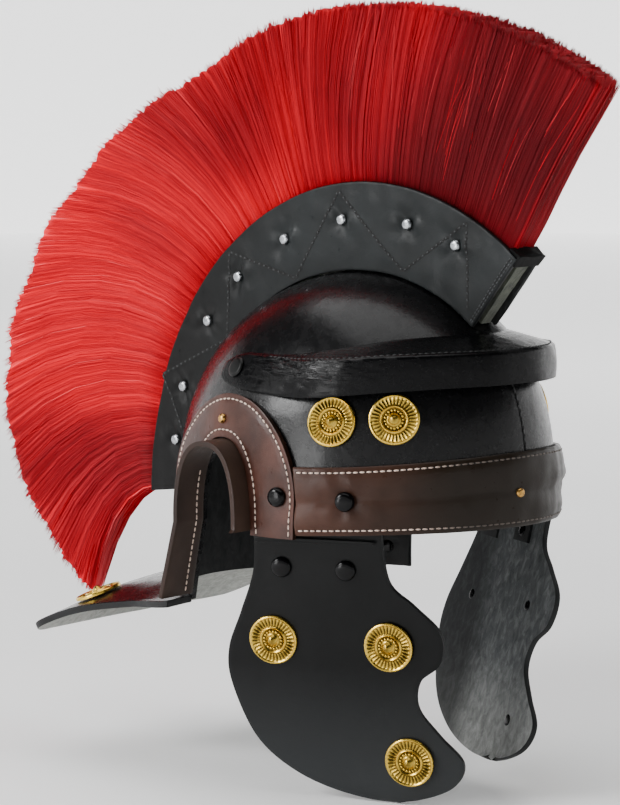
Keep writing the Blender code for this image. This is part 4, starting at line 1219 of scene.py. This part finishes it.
def hung(vector, side, place=True):
    """A place or a direction on the right cheek guard, brought to either side."""
    if side == RIGHT:
        return Vector(vector)
    vector = Vector((-vector[0], vector[1], vector[2]))
    turn = Euler([math.radians(angle) for angle in LEFT_HANG_TURN]).to_matrix()
    if not place:
        return turn @ vector
    return turn @ (vector - LEFT_HANG_PIVOT) + LEFT_HANG_PIVOT + LEFT_HANG_SHIFT


def cheek_out(side):
    return hung(CHEEK_NORMAL, side, place=False)


def on_cheek(y, z, side, inside=0.0):
    """A place on a cheek guard's outer face, or inside it."""
    reach = CHEEK_AT_EAR + CHEEK_TOE_IN * y + CHEEK_TUCK_IN * (z - CHEEK_TOP)
    return hung(Vector((-reach, y, z)) - CHEEK_NORMAL * inside, side)


def cheek_chains(side, steps=16, samples=200):
    """The guard's rear and front edges, each from the top to the lowest point, evenly spaced."""
    rear, front = [Vector(corner) for corner in zip(CHEEK_TOP_Y, CHEEK_TOP_EDGE[side])]
    rows = [rear, rear, *[Vector(row) for row in CHEEK_OUTLINE], front, front]
    points = []
    for before, start, end, after in zip(rows, rows[1:], rows[2:], rows[3:]):
        slopes = (end - before) / 2, (after - start) / 2
        points += [hermite(start, end, *slopes, step / steps) for step in range(steps)]
    points.append(front)
    turn = CHEEK_TIP * steps
    for chain in (points[: turn + 1], points[turn:][::-1]):
        travel = travelled(np.array(chain))
        yield columns_at(np.linspace(0, travel[-1], samples), travel, np.array(chain))


def cheek_guard(side):
    name = SIDES[side]
    rear, front = cheek_chains(side)

    def shape(u, v):
        at = v * (len(rear) - 1)
        low = min(int(at), len(rear) - 2)
        start, end = (mix(chain[low], chain[low + 1], at - low) for chain in (rear, front))
        y, z = mix(start, end, u)
        edge = min(u, 1 - u, 2 * v)
        wave = ripple(0.0010, y * 16, z * 16, side * 3) * smoothstep(4 * edge)
        crown = CHEEK_CROWN * smoothstep(2.5 * edge) - CHEEK_CROWN
        return on_cheek(y, z, side, -wave - crown)

    finishes = (SATIN_BLACK_PAINTED_SHEEN, GREY_FLESH_PAINTED_SHADING, BLACK_EDGE_PAINTED_HIGHLIGHT)
    sheet = (f"cheek_guard_leather_{name}", (34, 84), shape, lambda point: cheek_out(side))
    part = cut_leather(*sheet, CHEEK_THICKNESS, finishes, 0.0008)
    register(part, "glossy_black_leather", f"cheek_guard_{name}")
    for place, (y, z) in CHEEK_RIVETS.items():
        back_of_rivet(f"rivet_back_{place}_{name}", y, z, side, STRAP_THICKNESS + GAP)
    for place in ("rear", "front", "low"):
        centre, _ = seat_of(f"rosette_cheek_{place}_right")
        back_of_rivet(f"rosette_back_{place}_{name}", centre.y, centre.z, side)


def back_of_rivet(name, y, z, side, strap=0.0):
    """The spread end of a rivet on the inside of a cheek guard, or of the strap on it."""
    centre = on_cheek(y, z, side, CHEEK_THICKNESS + strap - 0.0002)
    smooth(seat_copy(RIVET_BACK, name, (centre, -cheek_out(side)), "glossy_black_leather"))


def cheek_fold(side):
    """The strip folded over the top of a cheek guard, which shows as a step just below the band."""
    drop = CHEEK_TOP_EDGE[side][0] - CHEEK_TOP_EDGE[RIGHT][0]

    def shape(u, v):
        y = mix(*FOLD_Y, u)
        bottom = mix(*FOLD_BOTTOM, u) + ripple(0.0003, y * 90, side, 0)
        return on_cheek(y, mix(bottom, FOLD_TOP, v) + drop, side, -FOLD_THICKNESS - GAP)

    sheet = (f"cheek_fold_leather_{SIDES[side]}", (30, 2), shape, lambda point: cheek_out(side))
    register(cut_leather(*sheet, FOLD_THICKNESS, BLACK_CUT, 0.0004), "glossy_black_leather")


def cheek_strap(side, place):
    name = f"{place}_{SIDES[side]}"
    turn = STRAP_TURNS[side][place]
    below_y = CHEEK_RIVETS[place][0]
    stand_off = STRAP_WIDTH**2 / (8 * BOWL_HALF_WIDTH)
    upper_out = bowl_normal(on_bowl(turn, 0.0, 0.0, side))
    bend_top, bend_length = STRAP_BEND[side]

    def shape(u, v):
        z = mix(*STRAP_ENDS, v)
        blend = smoothstep((bend_top - z) / bend_length)
        upper = by_wall(turn, z, -BOWL_WALL - STRAP_CLEAR - stand_off, side)
        lower = on_cheek(below_y, z, side, CHEEK_THICKNESS + GAP)
        out = upper_out.lerp(cheek_out(side), blend).normalized()
        along = Vector((out.y, -out.x, 0.0)).normalized() * STRAP_WIDTH * (u - 0.5)
        return upper.lerp(lower, blend) + along

    sheet = (f"cheek_strap_leather_{name}", (8, 40), shape, lambda point: upper_out)
    part = cut_leather(*sheet, STRAP_THICKNESS, BLACK_CUT, 0.0005)
    register(part, "glossy_black_leather", f"cheek_strap_{name}")


def neck_tab():
    """The black flap riveted inside the left end of the neck wall, which shows under the brow band."""

    def shape(u, v):
        turn = mix(*TAB_TURNS, u)
        point = by_wall(turn, mix(*TAB_HEIGHTS, v), -BOWL_WALL - 2 * GAP, LEFT)
        return point + from_head(point).normalized() * ripple(0.0005, turn * 30, v * 3, 4)

    sheet = ("neck_tab_leather_left", (14, 18), shape, lambda point: -from_head(point))
    register(cut_leather(*sheet, TAB_THICKNESS, BLACK_CUT), "glossy_black_leather")
    axis = Vector((-math.sin(TAB_TURNS[0]), math.cos(TAB_TURNS[0]), 0.0))
    seat_copy(TAB_RIVET, "neck_tab_rivet_left", (shape(*TAB_RIVET_PLACE), axis), "glossy_black_leather")


# Crest holder


def crest_point(x, angle, radius):
    return CREST_CENTRE + Vector((x, radius * math.cos(angle), radius * math.sin(angle)))


def crest_foot(x, angle):
    """The radius at which the crest meets the bowl."""
    low, high = 0.0, CREST_RADIUS
    for _ in range(24):
        middle = (low + high) / 2
        if bowl_value(crest_point(x, angle, middle)) < 0.0:
            low = middle
        else:
            high = middle
    return high + 2 * GAP


def crest_edge(angle):
    flare = CREST_FLARE * smoothstep((math.radians(12.0) - angle) / math.radians(20.0))
    return CREST_RADIUS + CREST_SWELL * math.cos(3.0 * (angle - math.radians(83.0))) + flare


def holder_side(side):
    """A crescent panel, with a valley, a ridge and puckers at each stud."""
    name = SIDES[side]
    inside = CREST_HALF_WIDTH - HOLDER_LEATHER
    studs = [seat_of(f"rivet_crest_{number}_{name}")[0].yz for number in range(1, CREST_STUDS + 1)]
    samples = 300
    feet = [crest_foot(inside, mix(CREST_FRONT, CREST_REAR, step / samples)) for step in range(samples + 1)]

    def shape(u, v):
        angle = mix(CREST_FRONT, CREST_REAR, u)
        at = unit(u) * samples
        low = min(int(at), samples - 1)
        foot = mix(feet[low], feet[low + 1], at - low)
        width = crest_edge(angle) - foot
        flat = crest_point(0.0, angle, foot + width * v).yz
        x = CREST_HALF_WIDTH + 0.0005 * smoothstep(min(v, 1 - v) * width / 0.012)
        for stud in studs:
            gap = flat - stud
            if gap.length < 0.02:
                for sign, (height, y_width, z_width), shift in (
                    (-1, STUD_VALLEY, Vector((0.0, 0.0))),
                    (1, STUD_RIDGE, STUD_RIDGE_SHIFT),
                ):
                    x += sign * height * bell(gap.x - shift.x, y_width) * bell(gap.y - shift.y, z_width)
                spoke = math.atan2(gap.y, gap.x)
                x += math.sin(4 * spoke + stud.x * 900) * dent(STUD_PUCKER, gap.length - 0.0085)
        x += ripple(0.0009, flat.x * 30, flat.y * 30, side * 5)
        x += ripple(0.0006, flat.x * 85, flat.y * 60, side * 5)
        return Vector((side * x, *flat))

    def out(point):
        return Vector((side, 0, 0))

    finishes = (HOLDER_BLACK_PAINTED_SHADE, DARK_FLESH, BLACK_EDGE_PAINTED_HIGHLIGHT)
    sheet = (f"crest_holder_leather_{name}", (220, 30), shape, out, HOLDER_LEATHER, finishes, 0.0007)
    register(cut_leather(*sheet), "satin_black_leather", f"crest_side_{name}")
    corners = [crest_point(0, math.radians(degrees), radius) for degrees, radius in ZIGZAG]
    rows = []
    for start, end in zip(corners, corners[1:]):

        def place(t, start=start, end=end):
            _, y, z = start.lerp(end, t) - CREST_CENTRE
            angle = math.atan2(z, y)
            foot = crest_foot(inside, angle)
            share = (math.hypot(y, z) - foot) / (crest_edge(angle) - foot)
            return (angle - CREST_FRONT) / (CREST_REAR - CREST_FRONT), share

        rows.append((on_sheet(shape, place, out),))
    stitching(f"crest_zigzag_{name}", ZIGZAG_SEAM, rows)
    rows = []
    for inset in HOLDER_EDGE_SEAMS:
        along = on_sheet(shape, lambda t, inset=inset: (inset / HOLDER_WIDTH_SCALE, 0.04 + 0.93 * t), out)
        rows.append((along,))
    stitching(f"crest_edge_stitches_{name}", EDGE_SEAM, rows)


def crest_core():
    """Felt filling, between the panels and below the roots of the hair."""
    half = CREST_HALF_WIDTH - HOLDER_LEATHER - 0.0008
    front, rear = CREST_FRONT - math.radians(0.7), CREST_REAR + math.radians(1.6)

    def shape(a, b, c):
        angle = mix(front, rear, a)
        foot = crest_foot(0.0, angle) + GAP
        edge = crest_edge(angle) - (0.0050 if a < 0.02 else HAIR_ROOT_DEPTH + GAP)
        rough = ripple(0.0006 * 4, a * 300, b * 9, c * 12)
        narrow = half * (0.66 - 0.16 * (1 - c))
        return crest_point(narrow * (2 * b - 1) + CORE_SHIFT, angle + rough, mix(foot, edge, c))

    part = block("crest_felt_core", 20, shape, FELT)
    smooth(part)
    register(part, "grey_felt", "crest_core")


def crest_cap():
    """The leather folded over the front of the holder, at the foot of the hair."""

    def shape(a, b, c):
        angle = CREST_FRONT + math.radians(float(np.interp(a, *zip(*CAP_STEPS))))
        pinch = 1.0 - 0.08 * (1 - c)
        low = -0.0050 if a < 0.4 else 0.0004
        high = 0.0024 + 0.0010 * math.sin(math.pi * b) * a + 0.0004 * math.sin(9 * b + 4 * a)
        across = (CREST_HALF_WIDTH + 0.0004) * pinch * (2 * b - 1)
        return crest_point(across, angle, crest_edge(angle) + mix(low, high, c))

    part = block("crest_cap_leather", 9, shape, FOLDED_BLACK)
    round_edges(part, 0.0017)
    smooth(part)
    register(part, "satin_black_leather")


# Crest brush


def folds(t, s, side_sign):
    """How far the surface of the brush waves in and out, in metres."""
    wave = sum(
        size * np.sin(math.tau * (along * t + out * s) + start)
        for size, along, out, start in HAIR_WAVES
    )
    return side_sign * wave * 0.0013 * s


def drift(t, s):
    """How far hairs lean along the crest, in metres. The front face is hollow in side view."""
    hollow = 0.0040 * np.exp(-(((1 - t) / 0.12) ** 2)) * np.sin(math.pi * np.clip(s, 0, 1)) ** 1.5
    waves = 0.0011 * s * np.sin(math.tau * (8.5 * t + 0.3 * s))
    ripples = 0.0004 * s * np.sin(math.tau * 21 * t + 1.7)
    return waves + ripples - hollow


def brush_points(t, share, lean, trim, steps=HAIR_STEPS, begin=0.0, inset=(0.0, 0.0)):
    """Points along many hairs at once, from the holder, or from a share of the way, to their tips.

    T is a hair's place from rear to front, and share its place across, from -1 to 1. The shares along the
    hairs are returned as well.
    """
    angles = np.radians(np.linspace(-30, 140, 800))
    outline_at = np.linspace(BRUSH_OUTLINE[0][0], BRUSH_OUTLINE[-1][0], 300)
    outline = np.array([blend_rows(BRUSH_OUTLINE, at)[0] for at in outline_at])
    root = mix(BRUSH_ROOT_REAR, BRUSH_ROOT_FRONT, t)
    tip_degrees = mix(BRUSH_OUTLINE[0][0], BRUSH_OUTLINE[-1][0], t) + np.interp(t, *zip(*BRUSH_PARTING))
    tip_radius = np.interp(tip_degrees, outline_at, outline) + trim
    edge = np.interp(root, angles, [crest_edge(angle) for angle in angles])
    ends = (
        (edge - BRUSH_COLLAR, root),
        (mix(edge, tip_radius, BRUSH_STRAIGHT), root),
        (tip_radius, np.radians(tip_degrees) + lean),
    )
    collar, bend, tip = (np.stack([r * np.cos(a), r * np.sin(a)], axis=1)[:, None] for r, a in ends)
    s = np.append(np.linspace(begin, begin + HAIR_BLUNT * (1 - begin), steps - 1), 1.0)[None, :, None]
    flat = collar * (1 - s) ** 2 + 2 * bend * s * (1 - s) + tip * s**2
    s, t, share = s[..., 0], t[:, None], share[:, None]
    x_root, x_tip = ((half - less) * share for half, less in zip(BRUSH_HALF, inset))
    rounded = np.sqrt(1 - 0.9 * np.clip(1 - t / REAR_ROUND, 0, 1) ** 2)
    x = mix(x_root, x_tip, s**0.7) * (1 - (1 - rounded) * s) + folds(t, s, share)
    direction = np.gradient(flat, axis=1)
    direction /= np.linalg.norm(direction, axis=2, keepdims=True) + 1e-12
    normal = np.stack([-direction[..., 1], direction[..., 0]], axis=2)
    moved = flat + normal * drift(t, s)[..., None]
    return np.concatenate([x[..., None], moved], axis=2) + np.array(CREST_CENTRE), s


def tone_with_painted_shading(points, s):
    """How bright the hair is at each place: patchy in its dye and in painted fold highlights and shade, and
    darkest towards the front in painted shade.
    """
    turn = np.degrees(np.arctan2(points[..., 2] - CREST_CENTRE.z, points[..., 1] - CREST_CENTRE.y))
    turns, *columns = zip(*HAIR_TONES_PAINTED_SHADING)
    low, half, high = (np.interp(turn, turns, column) for column in columns)
    share = np.clip(s, 0, 1)
    lower = mix(low, half, np.clip(share / 0.5, 0, 1))
    return lower + (high - half) * np.clip((share - 0.5) / 0.35, 0, 1)


def strands(name, points, tone, radius):
    """Three-sided tapering hairs as one piece. They are thicker than real hairs of 0.2 mm, to show."""
    hairs, steps, _ = points.shape
    direction = np.gradient(points, axis=1)
    direction /= np.linalg.norm(direction, axis=2, keepdims=True)
    across = np.cross(direction, (1.0, 0.0, 0.0))
    across /= np.linalg.norm(across, axis=2, keepdims=True)
    up = np.cross(across, direction)
    taper = (radius[:, None] * (1.0 - 0.4 * np.linspace(0, 1, steps) ** 8))[..., None]
    turns = [math.tau * at / 3 for at in range(3)]
    rings = np.stack([points + (across * math.cos(a) + up * math.sin(a)) * taper for a in turns], axis=2)
    corners = np.concatenate([rings[:, :-1].reshape(hairs, -1, 3), points[:, -1:]], axis=1)
    pairs = [(at, (at + 1) % 3) for at in range(3)]
    quads = [[3 * step + at for at in (a, b, b + 3, a + 3)] for step in range(steps - 2) for a, b in pairs]
    tips = [[3 * (steps - 2) + a, 3 * (steps - 2) + b, 3 * (steps - 1)] for a, b in pairs] + [[2, 1, 0]]
    base = (np.arange(hairs) * corners.shape[1])[:, None, None]
    faces = [face for kind in (quads, tips) for face in np.concatenate(np.array(kind) + base).tolist()]
    part = mesh_part(name, corners, faces, HAIR)
    tones = np.concatenate([np.repeat(tone[:, :-1], 3, axis=1), tone[:, -1:]], axis=1)
    set_point_values(part, "tone", tones.ravel())
    part.data.shade_smooth()
    register(part, "red_horsehair")


def crest_body():
    """The mass of the hair, under the strands that show."""
    columns, rows = BODY_GRID
    part = flat_sheet("crest_hair_body", columns, rows, [HAIR_MASS])
    chart = np.array([v.co for v in part.data.vertices])
    t, along = np.clip(chart[:, 0], 0, 1), chart[:, 1]
    jags = np.random.default_rng(SEED).uniform(-0.0042, -0.0008, columns + 1)
    tips = jags[np.round(t * columns).astype(int)]
    points, _ = brush_points(t, np.full(len(t), -1.0), 0.0, tips, rows + 1, 0.0, BODY_INSET)
    chosen = points[np.arange(len(t)), np.round(along * rows).astype(int)]
    part.data.vertices.foreach_set("co", chosen.astype(np.float32).ravel())
    part.data.update()
    bpy.ops.object.mode_set(mode="EDIT")
    bpy.ops.mesh.select_all(action="SELECT")
    bpy.ops.mesh.extrude_region_move()
    bpy.ops.transform.resize(value=(-1, 1, 1), center_override=(0, 0, 0))
    bpy.ops.object.mode_set(mode="OBJECT")
    face_outwards()
    # The mass is lighter towards its tips: painted light that lifts the shade seen between the locks
    tones = tone_with_painted_shading(chosen, np.clip(along, 0, 1)) + 0.04 + 0.14 * np.clip((along - 0.75) / 0.15, 0, 1)
    set_point_values(part, "tone", np.resize(tones, len(part.data.vertices)))
    smooth(part, 60)
    register(part, "red_horsehair", "crest_brush")


def trimmed(t):
    """The uneven cut of the tips, in steps along the crest."""
    step = np.floor(t * 64)
    return 0.0016 * (np.modf(np.abs(np.sin(step * 12.9898) * 43758.5))[0] - 0.6)


def hair_group(name, seed, locks, hairs, side, depth, gather, begin=0.0, steps=HAIR_STEPS, lift=0.0):
    """Hairs gathered in pointed locks. Depth gives each lock's place between the middle and the side.

    Lift makes hairs brighter, each by its own amount.
    """
    draw = np.random.default_rng(seed)
    lock_t = np.clip((np.arange(locks) + draw.normal(0.5, 1.0, locks)) / locks, 0, 1)
    lock_x = side * draw.uniform(*depth, locks)
    ragged = np.interp(lock_t, (0.05, 0.3), (2.2, 1.0))
    lock_trim = draw.uniform(-0.0010, 0.0026, locks) * ragged + trimmed(lock_t)
    lock_tone = draw.normal(0.0, 0.03, locks)
    lock_lean = draw.normal(0.0, 0.0045, locks)
    index = np.repeat(np.arange(locks), hairs)
    count = len(index)
    spread = draw.uniform(-1, 1, count)
    gather = gather * draw.uniform(0.6, 1.5, locks)[index]
    pointed = np.interp(lock_t[index], (0.5, 0.8), (1.0, 0.3))
    t = np.clip(lock_t[index] + spread * gather, 0, 1)
    share = np.clip(lock_x[index] + draw.normal(0, 0.05, count), -1.03, 1.03)
    trim = lock_trim[index] * (0.4 + 0.6 * pointed) - 0.0030 * np.abs(spread) * pointed
    trim += draw.uniform(-0.0008, 0.0008, count)
    lean = (lock_lean[index] - spread * 0.0034) * pointed
    stray = (draw.uniform(0, 1, count) > 0.985) & (t < 0.9)
    lean += stray * draw.normal(0, 0.05, count)
    points, s = brush_points(t, share, lean, trim, steps, begin)
    # One hair in twenty is brightened: painted glints along the hairs
    shine = draw.uniform(0, 1, count) > 0.95
    own = lock_tone[index] + draw.normal(0, 0.045, count) + 0.14 * shine
    own *= np.interp(t, (0.65, 0.85), (1.0, 0.45))
    own += lift * np.interp(t, (0.55, 0.75), (1.0, 0.55)) * draw.normal(0.9, 0.8, count)
    tone = np.clip(tone_with_painted_shading(points, s) + own[:, None], 0, 1)
    strands(name, points, tone, draw.uniform(0.00014, 0.00022, count))


def end_hairs(name, seed, middle, count, lift):
    """The hairs that close the front or the rear face of the brush."""
    draw = np.random.default_rng(seed)
    t = middle + draw.uniform(-0.004, 0.004, count)
    share = draw.uniform(-0.98, 0.98, count)
    trim = draw.uniform(-0.0015, 0.0025, count)
    points, s = brush_points(t, share, draw.normal(0.0, 0.004, count), trim)
    tone = np.clip(tone_with_painted_shading(points, s) + draw.normal(lift, 0.09, count)[:, None], 0, 1)
    strands(name, points, tone, draw.uniform(0.00018, 0.00028, count))


def loose_hairs(name, seed, count):
    """Single hairs that lie across the others, most of them near the front, painted pale as painted
    highlights.
    """
    draw = np.random.default_rng(seed)
    t = 1 - np.abs(draw.normal(0, 0.22, count)) % 1
    share = draw.choice((-1.05, 1.05), count)
    lean = draw.normal(0.0, 0.035, count)
    begin = draw.uniform(0.1, 0.6, count)
    points, _ = brush_points(t, share, lean, -0.003, LOOSE_STEPS)
    last = LOOSE_STEPS - 1
    shown = np.clip(begin[:, None] + np.linspace(0, 0.4, LOOSE_STEPS), 0, 1) * last
    low = np.minimum(shown.astype(int), last - 1)
    row = np.arange(count)[:, None]
    points = mix(points[row, low], points[row, low + 1], (shown - low)[..., None])
    tone = np.repeat(draw.uniform(0.94, 1.0, count)[:, None], LOOSE_STEPS, axis=1)
    strands(name, points, tone, np.full(count, 0.00010))


def crest_brush():
    crest_body()
    for at, (side, name) in enumerate(SIDES.items()):
        for layer in range(2):
            depth = (0.95 + 0.04 * layer, 1.0 + 0.02 * layer)
            title = f"crest_hair_outer_{layer + 1}_{name}"
            hair_group(title, SEED + 2 * at + layer, 310, 10, side, depth, 0.0026)
    hair_group("crest_hair_tips", SEED + 5, 1000, 6, 1, (-1.0, 1.0), 0.0016, begin=0.80, steps=4, lift=0.15)
    loose_hairs("crest_hair_loose", SEED + 8, 80)
    # The hairs of the front face are brightened: painted light
    end_hairs("crest_hair_front", SEED + 6, 0.999, 430, 0.17)
    end_hairs("crest_hair_rear", SEED + 7, 0.001, 430, 0.40)


# Small metal


def rosette_model():
    """A stamped rosette: rim, ribs, an inner ring, a circle of beads and a pointed boss."""
    part = turned("rosette_model", ROSETTE_PROFILE, RIBS * 4, GILT)
    for vertex in part.data.vertices:
        x, y, z = vertex.co
        if 0.0084 < math.hypot(x, y) < 0.0126 and z > 0.0005:
            vertex.co.z += RIB_HEIGHT * (0.5 + 0.5 * math.cos(RIBS * math.atan2(y, x))) - 0.0001
    beads = []
    for angle in (math.tau * step / BEADS for step in range(BEADS)):
        place = (BEAD_CIRCLE * math.cos(angle), BEAD_CIRCLE * math.sin(angle), 0.0014)
        bpy.ops.mesh.primitive_ico_sphere_add(subdivisions=2, radius=BEAD_RADIUS, location=place)
        beads.append(just_made("bead", [GILT]))
    select_only(part)
    for bead in beads:
        bead.select_set(True)
    bpy.ops.object.join()
    recess = []
    for x, y, z in (vertex.co for vertex in part.data.vertices):
        radius = math.hypot(x, y)
        floor = 0.0010 if radius > 0.0082 else 0.0013
        low = 1.0 - smoothstep((z - floor) / 0.00045)
        # Brown in the hollows, and on the raised boss in the middle as well
        recess.append(max(0.9 * low if 0.0032 < radius < 0.0128 else 0.0, 0.75 * bell(radius, 0.0026)))
    set_point_values(part, "recess", recess)
    smooth(part, 50)
    return part


def dome_model(name, radius, height, material, flat=0.0):
    """A dome with a small lip at its edge. The flatter it is, the steeper its side."""
    profile = [(0.0, -0.3 * height), (radius, -0.3 * height), (radius, 0.18 * height)]
    profile.append((0.96 * radius, 0.30 * height))
    for step in range(1, DOME_STEPS):
        angle = math.pi / 2 * step / DOME_STEPS
        out, up = math.cos(angle) ** (1.0 - 0.4 * flat), math.sin(angle) ** (1.0 - 0.3 * flat)
        profile.append((0.93 * radius * out, height * (0.30 + 0.70 * up)))
    part = turned(name, [*profile, (0.0, height)], 28, material)
    smooth(part, 50)
    return part


def small_metal():
    """The rosettes, and the cap of each rivet."""
    models = {"rosette": (rosette_model(), "_stamped", "gilded_brass")}
    for kind, (radius, height, material, flat, slot_name) in RIVETS.items():
        models[kind] = (dome_model(kind + "_model", radius, height, material, flat), "_cap", slot_name)
    for kind, (model, ending, slot_name) in models.items():
        for node in sorted(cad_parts):
            if node.startswith(kind + "_"):
                seat = seat_of(node)
                if kind == "rivet_brow":  # seen a little to the wearer's right of the middle
                    point = band_shape(*BROW_RIVET_PLACE)
                    seat = point, bowl_normal(point)
                seat_copy(model, node + ending, seat, slot_name, node)
        bpy.data.objects.remove(model)


# Stage


def stage():
    """A round of white paper on the floor, and a low white backdrop all the way round it, both glowing with
    painted light.
    """
    level = cad_low.z - 0.0005
    stops = ((0.3, "#f2f2f2"), (0.7, "#f8f8f8"))
    white = linear("#ffffff")
    paper = plain("matt_white_paper", stops, grain(400, 2.0), Roughness=0.9, Emission_Color=white)
    place = add_node(paper, "TexCoord", out="Object")
    # The paper glows, more so farther out: painted light
    distance = add_node(paper, "VectorMath", {"operation": "LENGTH"}, {0: place}, "Value")
    painted_glow = add_node(paper, "MapRange", span(0.5, 2.6, *FLOOR_GLOW), {0: distance})
    finish(paper, Emission_Strength=painted_glow)
    # The backdrop glows with painted light: bright behind the object and dim on the side towards the viewer
    glow = new_material("lit_white_paper", Roughness=1.0, Emission_Color=white)
    away = (-math.sin(CAMERA_TURN) / BACKDROP_RADIUS, math.cos(CAMERA_TURN) / BACKDROP_RADIUS, 0.0)
    place = add_node(glow, "TexCoord", out="Object")
    facing = add_node(glow, "VectorMath", {"operation": "DOT_PRODUCT", 1: away}, {0: place}, "Value")
    finish(glow, Emission_Strength=add_node(glow, "MapRange", span(-0.5, 0.8, *BACKDROP_GLOW), {0: facing}))
    for name, fill, material in (("studio_floor", "NGON", paper), ("studio_backdrop", "NOTHING", glow)):
        select_only()
        size = {"vertices": 96, "radius": BACKDROP_RADIUS, "fill_type": fill, "location": (0, 0, level)}
        bpy.ops.mesh.primitive_circle_add(**size)
        just_made(name, [material])
    whole(bpy.ops.mesh.extrude_region_move, TRANSFORM_OT_translate={"value": (0, 0, BACKDROP_HEIGHT)})


def lights():
    world = bpy.data.worlds.new("dim_studio")
    world.use_nodes = True
    world.node_tree.nodes["Background"].inputs["Color"].default_value = linear("#ffffff")
    world.node_tree.nodes["Background"].inputs["Strength"].default_value = WORLD_FILL
    bpy.context.scene.world = world
    for name, place, aim, size, power in SOFTBOXES:
        data = bpy.data.lights.new(name, "AREA")
        data.shape = "RECTANGLE"
        data.size, data.size_y = size
        data.energy = power
        lamp = add_object(name, data)
        lamp.location = place
        lamp.rotation_euler = (Vector(aim) - Vector(place)).to_track_quat("-Z", "Y").to_euler()


def camera():
    data = bpy.data.cameras.new("studio_camera")
    data.sensor_width = data.sensor_height = CAMERA_SENSOR
    data.sensor_fit = "AUTO"
    data.lens = CAMERA_LENS
    level = math.cos(CAMERA_RISE)
    back = Vector((math.sin(CAMERA_TURN) * level, -math.cos(CAMERA_TURN) * level, math.sin(CAMERA_RISE)))
    eye = add_object("studio_camera", data)
    eye.location = Vector(CAMERA_AIM) + back * CAMERA_DISTANCE
    eye.rotation_euler = back.to_track_quat("Z", "Y").to_euler()
    bpy.context.scene.camera = eye


RIVET_BACK = dome_model("rivet_back_model", 0.0036, 0.0012, BLACK_CAP, 0.5)
TAB_RIVET = dome_model("tab_rivet_model", 0.0040, 0.0014, BLACK_CAP, 0.6)

bowl()
brow_band()
brow_guard()
neck_guard()
for wearer_side in SIDES:
    ear_panel(wearer_side)
    ear_flange(wearer_side)
    cheek_guard(wearer_side)
    cheek_fold(wearer_side)
    for strap_place in STRAP_TURNS[wearer_side]:
        cheek_strap(wearer_side, strap_place)
    holder_side(wearer_side)
neck_tab()
crest_core()
crest_cap()
crest_brush()
small_metal()
bpy.data.objects.remove(RIVET_BACK)
bpy.data.objects.remove(TAB_RIVET)
stage()
lights()
camera()
